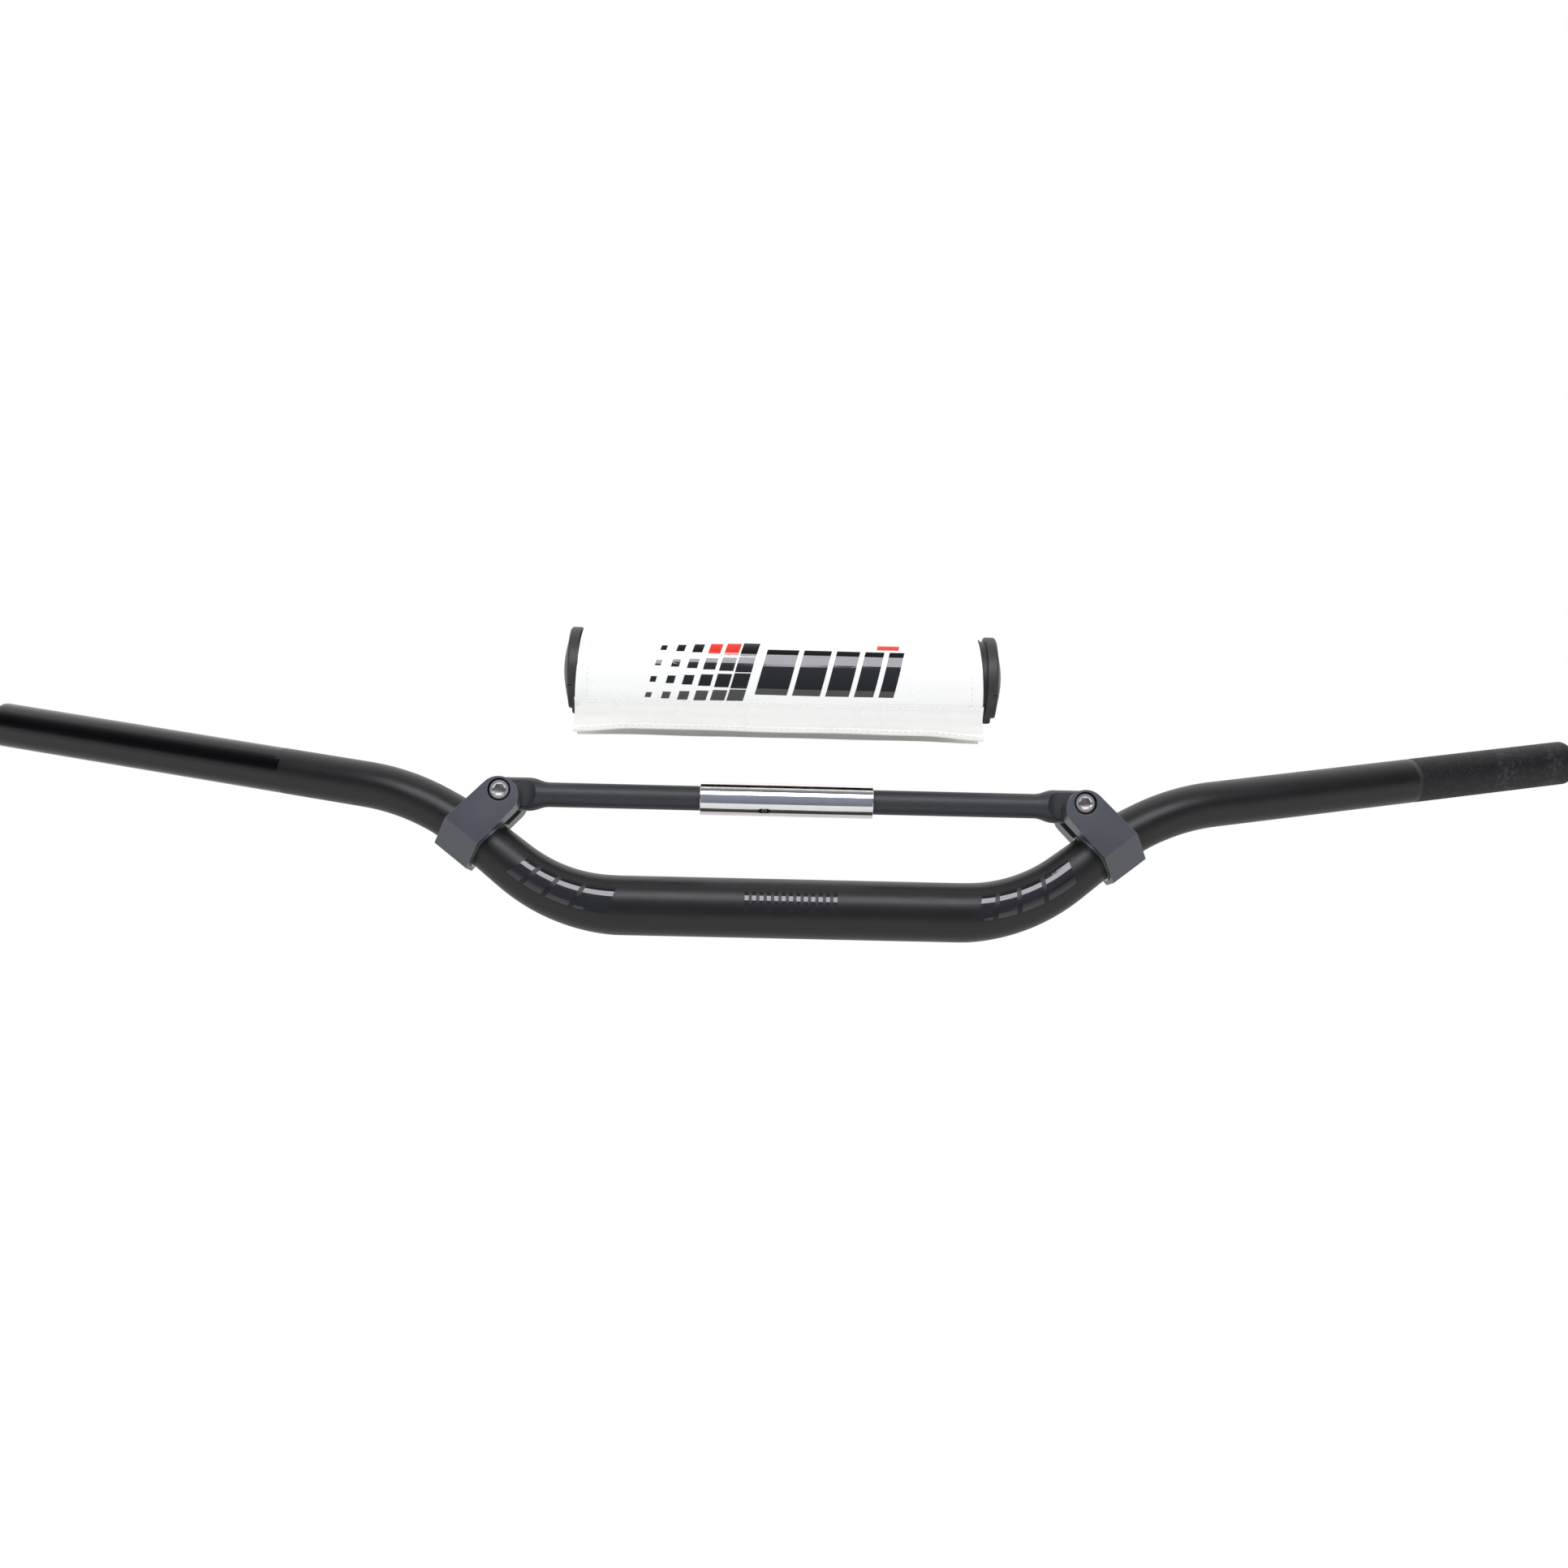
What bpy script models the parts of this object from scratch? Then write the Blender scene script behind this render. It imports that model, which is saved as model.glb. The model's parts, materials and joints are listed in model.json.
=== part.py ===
"""Motorcycle handlebar with a telescoping crossbar and a slip-on crossbar pad.

The bar is one bent, tapered tube. A U-shaped clamp grips each rising leg of it, and a bolt
through each clamp is the pivot of a crossbar rod. The two rods meet inside a sleeve, between
two rubber buffers, so the crossbar gives a little when the bar flexes. The soft pad stands
above the crossbar, and slides down over it.

Units are metres. The origin is under the middle of the bar, where the tube rests in the stem's
saddle, +X points to the rider's left, +Y back to the rider and +Z up. Each piece is modelled with
the tube's axis at z = 0, and at the end they are all lifted together by SEAT_DEPTH.
"""

import math

import bmesh
import bpy
from mathutils import Matrix, Vector

# ---- General ---------------------------------------------------------------------------------
OBJECT_NAME = "handlebar"
GAP = 0.0003               # clearance between neighbouring pieces
MERGE = 0.00002            # weld distance for curve caps and turned profiles
ROUND_SEGMENTS = 24        # sides of a rod-sized round piece
SMALL_SEGMENTS = 16        # sides of a bolt-sized round piece

# ---- Bar tube --------------------------------------------------------------------------------
BAR_HALF_WIDTH = 0.4035    # to the middle of the sloping end face
BAR_RISE = 0.0880          # tube end above the middle of the bar
BAR_SWEEP = 0.052          # tube end behind the middle of the bar
CENTRE_RADIUS = 0.0143     # 28.6 mm stem clamp diameter
GRIP_RADIUS = 0.0111       # 22.2 mm grip diameter
WALL = 0.0035
LOWER_CORNER = Vector((0.1095, 0.0, 0.0))
UPPER_CORNER = Vector((0.1762, 0.0, 0.0514))
LOWER_BEND_RADIUS = 0.084
UPPER_BEND_RADIUS = 0.113
BEND_STEP = math.radians(4)
TAPER_START_X = 0.085      # the diameter falls evenly between these two places
TAPER_END_X = 0.168
BAR_SEGMENTS = 24
BORE_SEGMENTS = 12
BAR_TILT = math.radians(2.23)   # turns the sections so that one flat faces straight down
SEAT_DEPTH = CENTRE_RADIUS * math.cos(math.pi / BAR_SEGMENTS)   # that flat, below the tube's axis

# ---- Crossbar line ---------------------------------------------------------------------------
PIVOT_X = 0.139
CROSSBAR_Z = 0.0525

# ---- Clamps, in a frame of their own: u along the tube, v away from it, y front to back --------
CLAMP_ALONG_LEG = 0.058    # from the lower corner, along the rising leg
CLAMP_HALF_DEPTH = 0.018
CLAMP_BOTTOM = 0.0152      # flat underside below the tube's axis
CLAMP_BOTTOM_HALF = 0.008  # half width of that flat
CLAMP_CREASE = -0.0025     # where the flat sides meet the lower bevels
CLAMP_OUTER_U = 0.0084
CLAMP_INNER_U = -0.0112
CLAMP_FOOT_OUTER_U = 0.0066
CLAMP_FOOT_INNER_U = -0.0131
ARM_END_RADIUS = 0.0094
ARM_END_SHIFT = (-0.0016, -0.0026)      # u and v of the arm's round end, from the pivot
SLOT_HALF = 0.0055
SHIM_WALL = 0.0009
SHIM_SHIFT = 0.0005        # how far the shim stands out of the clamp's inboard side
SHIM_SLIT_HALF = 0.0015

# ---- Pivot bolts and bushings ----------------------------------------------------------------
BOLT_RADIUS = 0.003        # M6
BOLT_HEAD_RADIUS = 0.005
BOLT_HEAD_HEIGHT = 0.006
BOLT_HEAD_SINK = 0.0006    # head below the clamp's front face
BOLT_TIP_Y = 0.0155
BOLT_CHAMFER = 0.0005
HEX_RADIUS = 0.00289       # 5 mm key
HEX_DEPTH = 0.003
COUNTERBORE_RADIUS = 0.0055
BUSHING_RADIUS_LEFT = 0.0046
BUSHING_RADIUS_RIGHT = 0.0039
BUSHING_HALF = 0.0052

# ---- Crossbar rods ---------------------------------------------------------------------------
ROD_RADIUS = 0.006
BLADE_RADIUS = 0.0079      # half height of the blade, and its end radius
SWELL_RADIUS = 0.0081      # turned radius that the blade is milled from
BLADE_HALF = 0.0051        # half thickness of the blade
ROD_INNER_END = 0.010
FLARE_START = 0.1175
FLARE_END = 0.1265
FLAT_START = 0.1285
FLAT_CUTTER_RADIUS = 0.008
EYE_HOLE_LEFT = BUSHING_RADIUS_LEFT + GAP
EYE_HOLE_RIGHT = 0.0064    # loose: the right pivot is where the linkage is open

# ---- Crossbar sleeve and what it holds ---------------------------------------------------------
SLEEVE_RADIUS = 0.008
SLEEVE_HALF = 0.0417
SLEEVE_SHIFT = -0.0029      # the sleeve's middle, from the middle of the bar
SLEEVE_BORE = ROD_RADIUS + GAP
BUSH_LENGTH = 0.006
BUSH_OUTER = 0.0071
SPACER_HALF = 0.003
BUFFER_RADIUS = 0.0057
PIN_X = 0.0136
PIN_RADIUS = 0.0012
PIN_TILT = math.radians(-50)   # direction of the left pin, below the front of the sleeve
PIN_FOOT = 0.002           # pin's inner end, from the sleeve's axis
PIN_HEAD = 0.0077
PIN_SLOT_HALF = 0.003

# ---- Crossbar pad ----------------------------------------------------------------------------
PAD_CENTRE = Vector((-0.0060, 0.0, 0.1135))
FOAM_RADIUS = 0.0203
FOAM_HALF = 0.0910
PAD_SLOT_HALF = 0.0083     # takes the sleeve
PAD_SLOT_RISE = 0.0013     # centre of the slot's round top, above the pad's axis
COVER_INNER = 0.0206
COVER_OUTER = 0.0217
COVER_HALF = 0.0955
COVER_OPEN_ANGLE = math.radians(27)   # from straight down to each edge of the cover
FRONT_HINGE = (-0.0093, -0.0202)      # y and z of the flaps' hinge lines, from the pad's axis
REAR_HINGE = (0.0086, -0.0198)
FLAP_LENGTH = 0.0102
FLAP_HALF_THICKNESS = 0.0005
STRIP_START = 0.0044
STRIP_END = 0.0098
STRIP_THICKNESS = 0.0004
STRIP_GAP = 0.00005
CAP_SPIGOT_RADIUS = 0.0202
CAP_NECK_RADIUS = 0.0192
CAP_RIM_RADIUS = 0.0214
CAP_NECK_LENGTH = 0.0022
CAP_RIM_LENGTH = 0.0052
CAP_DOME_HEIGHT = 0.0042
PAD_SEGMENTS = 32

# ---- Materials: base colour, roughness, metallic -----------------------------------------------
MATERIALS = {
    "black_anodised": ((0.025, 0.025, 0.028), 0.45, 0.6),
    "clamp_anodised": ((0.07, 0.075, 0.085), 0.5, 0.6),
    "shim_aluminium": ((0.35, 0.35, 0.36), 0.4, 0.9),
    "rod_anodised": ((0.09, 0.09, 0.095), 0.45, 0.7),
    "polished_aluminium": ((0.85, 0.85, 0.86), 0.12, 1.0),
    "steel": ((0.6, 0.58, 0.55), 0.3, 1.0),
    "bearing_plastic": ((0.6, 0.58, 0.5), 0.5, 0.0),
    "buffer_rubber": ((0.03, 0.03, 0.03), 0.8, 0.0),
    "white_vinyl": ((0.86, 0.87, 0.86), 0.3, 0.0),
    "pad_foam": ((0.2, 0.2, 0.2), 0.95, 0.0),
    "cap_rubber": ((0.03, 0.03, 0.032), 0.55, 0.0),
    "hook_and_loop": ((0.7, 0.7, 0.68), 0.95, 0.0),
}


# ==== Helpers ===================================================================================
def clear_scene():
    for obj in list(bpy.data.objects):
        bpy.data.objects.remove(obj, do_unlink=True)


def new_collection(name):
    collection = bpy.data.collections.new(name)
    bpy.context.scene.collection.children.link(collection)
    return collection


def make_material(name):
    colour, roughness, metallic = MATERIALS[name]
    material = bpy.data.materials.get(name)
    if material is None:
        material = bpy.data.materials.new(name)
        material.use_nodes = True
        shader = material.node_tree.nodes["Principled BSDF"]
        shader.inputs["Base Color"].default_value = (*colour, 1.0)
        shader.inputs["Roughness"].default_value = roughness
        shader.inputs["Metallic"].default_value = metallic
    return material


def add_object(name, data, matrix=None, cutter=False):
    """Link a new object. A cutter goes in the cutters' collection, drawn as wire."""
    obj = bpy.data.objects.new(name, data)
    obj.matrix_world = matrix if matrix is not None else Matrix.Identity(4)
    (CUTTERS if cutter else PARTS).objects.link(obj)
    if cutter:
        obj.hide_render = True
        obj.display_type = "WIRE"
    return obj


def finish(obj, material, sharp_angle=35):
    """Give a piece its material, and shade its round faces smooth."""
    obj.data.materials.clear()
    obj.data.materials.append(make_material(material))
    obj.data.shade_smooth()
    obj.data.set_sharp_from_angle(angle=math.radians(sharp_angle))
    return obj


def curve_to_mesh(curve_object, name, cutter=False):
    """Replace a curve by a mesh object of the same place, with its end caps welded on."""
    bpy.context.view_layer.update()
    graph = bpy.context.evaluated_depsgraph_get()
    mesh = bpy.data.meshes.new_from_object(curve_object.evaluated_get(graph))
    matrix = curve_object.matrix_world.copy()
    bpy.data.objects.remove(curve_object, do_unlink=True)
    form = bmesh.new()
    form.from_mesh(mesh)
    bmesh.ops.remove_doubles(form, verts=form.verts, dist=MERGE)
    form.to_mesh(mesh)
    form.free()
    mesh.name = name
    return add_object(name, mesh, matrix, cutter)


def prism(name, outline, half_thickness, matrix, cutter=False):
    """A flat outline, drawn in the matrix's x and y, extruded both ways along its z."""
    curve = bpy.data.curves.new(name + "_outline", "CURVE")
    curve.dimensions = "2D"
    curve.fill_mode = "BOTH"
    curve.extrude = half_thickness
    spline = curve.splines.new("POLY")
    spline.points.add(len(outline) - 1)
    for point, (x, y) in zip(spline.points, outline):
        point.co = (x, y, 0.0, 1.0)
    spline.use_cyclic_u = True
    return curve_to_mesh(add_object(name + "_outline", curve, matrix, cutter), name, cutter)


def turned(name, profile, matrix, segments=ROUND_SEGMENTS, ring=False, cutter=False):
    """A profile of (radius, height), outer side from top to bottom, turned about the matrix's z."""
    mesh = bpy.data.meshes.new(name)
    edges = [(i, i + 1) for i in range(len(profile) - 1)]
    if ring:
        edges.append((len(profile) - 1, 0))
    mesh.from_pydata([(radius, 0.0, height) for radius, height in profile], edges, [])
    obj = add_object(name, mesh, matrix, cutter)
    screw = obj.modifiers.new("Turn", "SCREW")
    screw.axis = "Z"
    screw.steps = segments
    screw.render_steps = segments
    screw.use_merge_vertices = True
    screw.merge_threshold = MERGE
    screw.use_smooth_shade = True
    return obj


def box(name, low, high, matrix=None, cutter=True):
    """A box between two corners of the matrix's frame."""
    mesh = bpy.data.meshes.new(name)
    form = bmesh.new()
    size = [b - a for a, b in zip(low, high)]
    middle = [(a + b) / 2 for a, b in zip(low, high)]
    bmesh.ops.create_cube(form, size=1.0, matrix=Matrix.Translation(middle) @ Matrix.Diagonal((*size, 1.0)))
    form.to_mesh(mesh)
    form.free()
    return add_object(name, mesh, matrix, cutter)


def boolean(obj, other, operation="DIFFERENCE"):
    modifier = obj.modifiers.new(other.name, "BOOLEAN")
    modifier.operation = operation
    modifier.object = other
    modifier.solver = "EXACT"


def mirrored_copy(obj, name):
    """The finished shape of obj, reflected to the -X side as an object of its own."""
    bpy.context.view_layer.update()
    graph = bpy.context.evaluated_depsgraph_get()
    mesh = bpy.data.meshes.new_from_object(obj.evaluated_get(graph))
    mesh.transform(Matrix.Scale(-1.0, 4, Vector((1.0, 0.0, 0.0))) @ obj.matrix_world)
    mesh.flip_normals()
    mesh.name = name
    return add_object(name, mesh)


def arc(centre, radius, start, end, steps):
    """Points on a circle from one angle to another, both ends included."""
    angles = [start + (end - start) * i / steps for i in range(steps + 1)]
    return [(centre[0] + radius * math.cos(a), centre[1] + radius * math.sin(a)) for a in angles]


def frame_matrix(x_axis, y_axis, z_axis, origin):
    """The frame with these axes and origin, as a matrix."""
    columns = Matrix((x_axis, y_axis, z_axis)).transposed()
    return Matrix.Translation(origin) @ columns.to_4x4()


def along_x(side, origin=(0.0, 0.0, 0.0)):
    """A frame whose z runs along +X or -X, for turned pieces on the crossbar's line."""
    return Matrix.Translation(origin) @ Matrix.Rotation(side * math.pi / 2, 4, "Y")


def along_y(origin):
    """A frame whose z runs along +Y, for the pivot bolts and their bushings."""
    return Matrix.Translation(origin) @ Matrix.Rotation(-math.pi / 2, 4, "X")


# ==== Bar tube ==================================================================================
def fillet(before, corner, after, radius):
    """Points of the arc that rounds a corner between two straight legs."""
    into = (corner - before).normalized()
    out = (after - corner).normalized()
    turn = into.angle(out)
    inward = (out - into * into.dot(out)).normalized()
    start = corner - into * radius * math.tan(turn / 2)
    centre = start + inward * radius
    steps = math.ceil(turn / BEND_STEP)
    angles = [turn * i / steps for i in range(steps + 1)]
    return [centre - inward * radius * math.cos(a) + into * radius * math.sin(a) for a in angles]


def half_centreline():
    """The tube's axis from the middle of the bar to its +X end."""
    middle = Vector((0.0, 0.0, 0.0))
    end = Vector((BAR_HALF_WIDTH, BAR_SWEEP, BAR_RISE))
    lower = fillet(middle, LOWER_CORNER, UPPER_CORNER, LOWER_BEND_RADIUS)
    upper = fillet(LOWER_CORNER, UPPER_CORNER, end, UPPER_BEND_RADIUS)
    return [middle] + lower + upper + [end]


def tube_radius(x):
    """Outer radius: the stem clamp size in the middle, the grip size at the ends."""
    along = (abs(x) - TAPER_START_X) / (TAPER_END_X - TAPER_START_X)
    along = min(max(along, 0.0), 1.0)
    return CENTRE_RADIUS + (GRIP_RADIUS - CENTRE_RADIUS) * along


def bar_sweep(name, extra, segments, overrun=0.0, cutter=False):
    """The bar's outer form, made thicker by extra all round and longer by overrun at each end."""
    half = half_centreline()
    half[-1] = half[-1] + (half[-1] - half[-2]).normalized() * overrun
    mirrored = [Vector((-p.x, p.y, p.z)) for p in reversed(half[1:])]
    points = mirrored + half
    curve = bpy.data.curves.new(name + "_path", "CURVE")
    curve.dimensions = "3D"
    curve.bevel_depth = 1.0
    curve.bevel_resolution = segments // 2 - 2
    curve.use_fill_caps = True
    spline = curve.splines.new("POLY")
    spline.points.add(len(points) - 1)
    for point, place in zip(spline.points, points):
        point.co = (*place, 1.0)
        point.radius = tube_radius(place.x) + extra
        point.tilt = BAR_TILT
    return curve_to_mesh(add_object(name + "_path", curve, cutter=cutter), name, cutter)


def make_bar():
    bar = bar_sweep("bar_tube", 0.0, BAR_SEGMENTS)
    bore = bar_sweep("bar_bore_cutter", -WALL, BORE_SEGMENTS, overrun=0.01, cutter=True)
    boolean(bar, bore)
    finish(bar, "black_anodised")


# ==== Clamps ====================================================================================
def clamp_axes():
    """Unit directions along the rising leg of the tube, and away from it in the same plane."""
    along = (UPPER_CORNER - LOWER_CORNER).normalized()
    away = Vector((-along.z, 0.0, along.x))
    return along, away


def clamp_origin():
    along, _ = clamp_axes()
    return LOWER_CORNER + along * CLAMP_ALONG_LEG


def pivot_in_clamp():
    """The pivot in the clamp's own u and v."""
    along, away = clamp_axes()
    offset = Vector((PIVOT_X, 0.0, CROSSBAR_Z)) - clamp_origin()
    return offset.dot(along), offset.dot(away)


def clamp_frames():
    """Frames for the end view, the front view and boxes in u, y, v."""
    along, away = clamp_axes()
    front_to_back = Vector((0.0, 1.0, 0.0))
    origin = clamp_origin()
    end_view = frame_matrix(front_to_back, away, along, origin)
    front_view = frame_matrix(along, away, -front_to_back, origin)
    blocks = frame_matrix(along, front_to_back, away, origin)
    return end_view, front_view, blocks


def end_outline():
    """Clamp seen along the tube: flat sides, lower bevels and a flat foot. Its top is open above."""
    top = 0.045
    return [
        (CLAMP_HALF_DEPTH, CLAMP_CREASE),
        (CLAMP_HALF_DEPTH, top),
        (-CLAMP_HALF_DEPTH, top),
        (-CLAMP_HALF_DEPTH, CLAMP_CREASE),
        (-CLAMP_BOTTOM_HALF, -CLAMP_BOTTOM),
        (CLAMP_BOTTOM_HALF, -CLAMP_BOTTOM),
    ]


def side_lean(crease_u, centre, side):
    """Angle, from v towards -u, of the arm's straight side, from the crease to the round end it touches.

    side is 1 for the outboard side and -1 for the inboard one.
    """
    across = centre[0] - crease_u
    up = centre[1] - CLAMP_CREASE
    return math.atan2(-across, up) - side * math.asin(ARM_END_RADIUS / math.hypot(across, up))


def front_outline():
    """Clamp seen from the front: a flared foot, and arms with a round end near the pivot."""
    pivot_u, pivot_v = pivot_in_clamp()
    end_centre = (pivot_u + ARM_END_SHIFT[0], pivot_v + ARM_END_SHIFT[1])
    start = side_lean(CLAMP_OUTER_U, end_centre, 1)
    end = math.pi + side_lean(CLAMP_INNER_U, end_centre, -1)
    foot = -CLAMP_BOTTOM
    below = foot - 0.01
    outer_side = [(CLAMP_FOOT_OUTER_U, below), (CLAMP_FOOT_OUTER_U, foot), (CLAMP_OUTER_U, CLAMP_CREASE)]
    inner_side = [(CLAMP_INNER_U, CLAMP_CREASE), (CLAMP_FOOT_INNER_U, foot), (CLAMP_FOOT_INNER_U, below)]
    return outer_side + arc(end_centre, ARM_END_RADIUS, start, end, 16) + inner_side


def make_clamps():
    end_view, front_view, blocks = clamp_frames()
    reach = 0.05
    clamp = prism("bar_clamp_right", end_outline(), 0.02, end_view)
    outline = prism("clamp_outline_cutter", front_outline(), 0.03, front_view, cutter=True)
    slot = box("clamp_slot_cutter", (-reach, -SLOT_HALF, 0.004), (reach, SLOT_HALF, reach), blocks)
    bore = bar_sweep("clamp_bore_cutter", GAP + SHIM_WALL + GAP, BAR_SEGMENTS, cutter=True)
    pivot = along_y((PIVOT_X, 0.0, CROSSBAR_Z))
    hole_radius = BOLT_RADIUS + GAP
    hole = turned(
        "bolt_hole_cutter",
        [(0.0, 0.03), (hole_radius, 0.03), (hole_radius, -0.03), (0.0, -0.03)],
        pivot, SMALL_SEGMENTS, cutter=True,
    )
    seat = -CLAMP_HALF_DEPTH + BOLT_HEAD_SINK + BOLT_HEAD_HEIGHT + GAP
    counterbore = turned(
        "counterbore_cutter",
        [(0.0, seat), (COUNTERBORE_RADIUS, seat), (COUNTERBORE_RADIUS, -0.03), (0.0, -0.03)],
        pivot, ROUND_SEGMENTS, cutter=True,
    )
    boolean(clamp, outline, "INTERSECT")
    for cutter in (slot, bore, hole, counterbore):
        boolean(clamp, cutter)
    finish(clamp, "clamp_anodised")
    finish(mirrored_copy(clamp, "bar_clamp_left"), "clamp_anodised")


def make_shims():
    """A thin split sleeve between each clamp and the tube, with its ends cut parallel to the clamp's sides."""
    _, front_view, blocks = clamp_frames()
    reach = 0.05
    shifted = front_view @ Matrix.Translation((-SHIM_SHIFT, 0.0, 0.0))
    shim = prism("clamp_shim_right", front_outline(), reach, shifted)
    outside = bar_sweep("shim_outside_cutter", GAP + SHIM_WALL, BAR_SEGMENTS, cutter=True)
    inside = bar_sweep("shim_inside_cutter", GAP, BAR_SEGMENTS, cutter=True)
    slit = box("shim_slit_cutter", (-reach, -SHIM_SLIT_HALF, 0.0), (reach, SHIM_SLIT_HALF, reach), blocks)
    boolean(shim, outside, "INTERSECT")
    boolean(shim, inside)
    boolean(shim, slit)
    finish(shim, "shim_aluminium")
    finish(mirrored_copy(shim, "clamp_shim_left"), "shim_aluminium")


# ==== Pivots ====================================================================================
def make_bolt(name, side):
    """Socket head screw, with its head at the front. Heights along the turned axis are world y."""
    head_face = -CLAMP_HALF_DEPTH + BOLT_HEAD_SINK
    head_seat = head_face + BOLT_HEAD_HEIGHT
    profile = [
        (0.0, BOLT_TIP_Y),
        (BOLT_RADIUS - BOLT_CHAMFER, BOLT_TIP_Y),
        (BOLT_RADIUS, BOLT_TIP_Y - BOLT_CHAMFER),
        (BOLT_RADIUS, head_seat),
        (BOLT_HEAD_RADIUS, head_seat),
        (BOLT_HEAD_RADIUS, head_face + BOLT_CHAMFER),
        (BOLT_HEAD_RADIUS - BOLT_CHAMFER, head_face),
        (0.0, head_face),
    ]
    place = along_y((side * PIVOT_X, 0.0, CROSSBAR_Z))
    bolt = turned(name, profile, place, ROUND_SEGMENTS)
    bottom = head_face + HEX_DEPTH
    above = head_face - 0.002
    socket = turned(
        name + "_hex_cutter",
        [(0.0, bottom), (HEX_RADIUS, bottom), (HEX_RADIUS, above), (0.0, above)],
        place, 6, cutter=True,
    )
    boolean(bolt, socket)
    finish(bolt, "steel")


def make_bushing(name, side, radius):
    """Steel sleeve round the bolt, between the clamp's arms, that the rod's eye turns on."""
    inner = BOLT_RADIUS + GAP
    profile = [(radius, BUSHING_HALF), (radius, -BUSHING_HALF), (inner, -BUSHING_HALF), (inner, BUSHING_HALF)]
    bushing = turned(name, profile, along_y((side * PIVOT_X, 0.0, CROSSBAR_Z)), SMALL_SEGMENTS, ring=True)
    finish(bushing, "steel")


# ==== Crossbar ==================================================================================
def rod_profile():
    """Turned form of a rod: heights are distances from the middle of the crossbar."""
    chamfer = 0.0006
    flare_steps = 5
    flare = []
    for i in range(flare_steps + 1):
        share = i / flare_steps
        swell = (1 - math.cos(share * math.pi)) / 2
        radius = SWELL_RADIUS + (ROD_RADIUS - SWELL_RADIUS) * swell
        flare.append((radius, FLARE_END + (FLARE_START - FLARE_END) * share))
    end = PIVOT_X + BLADE_RADIUS + 0.002
    return (
        [(0.0, end), (SWELL_RADIUS, end)]
        + flare
        + [(ROD_RADIUS, ROD_INNER_END + chamfer), (ROD_RADIUS - chamfer, ROD_INNER_END), (0.0, ROD_INNER_END)]
    )


def make_rod(name, side, eye_hole):
    """Round rod whose outer end is milled to a flat blade with an eye."""
    rod = turned(name, rod_profile(), along_x(side, (0.0, 0.0, CROSSBAR_Z)))
    front_view = frame_matrix((side, 0, 0), (0, 0, 1), (0, -side, 0), (0.0, 0.0, CROSSBAR_Z))
    half_height = SWELL_RADIUS + 0.001
    blank = (
        [(0.0, -half_height), (FLARE_END, -half_height), (FLAT_START, -BLADE_RADIUS)]
        + arc((PIVOT_X, 0.0), BLADE_RADIUS, -math.pi / 2, math.pi / 2, 16)
        + [(FLAT_START, BLADE_RADIUS), (FLARE_END, half_height), (0.0, half_height)]
    )
    outline = prism(name + "_outline_cutter", blank, 0.02, front_view, cutter=True)
    boolean(rod, outline, "INTERSECT")
    far = PIVOT_X + 0.02
    outside = 0.02
    for face in (1, -1):
        top_view = frame_matrix((side, 0, 0), (0, face, 0), (0, 0, side * face), (0.0, 0.0, CROSSBAR_Z))
        centre = (FLAT_START, BLADE_HALF + FLAT_CUTTER_RADIUS)
        run_out = arc(centre, FLAT_CUTTER_RADIUS, math.radians(-90), math.radians(-170), 8)
        flat = [(far, outside), (far, BLADE_HALF)] + run_out + [(run_out[-1][0], outside)]
        flat_name = name + ("_rear" if face > 0 else "_front") + "_flat_cutter"
        boolean(rod, prism(flat_name, flat, 0.02, top_view, cutter=True))
    eye = turned(
        name + "_eye_cutter",
        [(0.0, 0.02), (eye_hole, 0.02), (eye_hole, -0.02), (0.0, -0.02)],
        along_y((side * PIVOT_X, 0.0, CROSSBAR_Z)), ROUND_SEGMENTS, cutter=True,
    )
    boolean(rod, eye)
    hole_foot = PIN_FOOT - GAP
    hole_radius = PIN_RADIUS + GAP
    hole = turned(
        name + "_pin_hole_cutter",
        [(0.0, 0.01), (hole_radius, 0.01), (hole_radius, hole_foot), (0.0, hole_foot)],
        pin_frame(side), SMALL_SEGMENTS, cutter=True,
    )
    boolean(rod, hole)
    finish(rod, "rod_anodised")


def pin_frame(side):
    """Frame at a retaining pin, with z along the pin and x along the crossbar.

    The left pin points forward and down, the right one the opposite way.
    """
    outward = Vector((0.0, -math.cos(PIN_TILT), math.sin(PIN_TILT))) * -side
    along = Vector((1.0, 0.0, 0.0))
    across = outward.cross(along)
    return frame_matrix(along, across, outward, (side * PIN_X, 0.0, CROSSBAR_Z))


def make_pin(name, side):
    profile = [(0.0, PIN_HEAD), (PIN_RADIUS, PIN_HEAD), (PIN_RADIUS, PIN_FOOT), (0.0, PIN_FOOT)]
    finish(turned(name, profile, pin_frame(side), SMALL_SEGMENTS), "steel")


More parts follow.
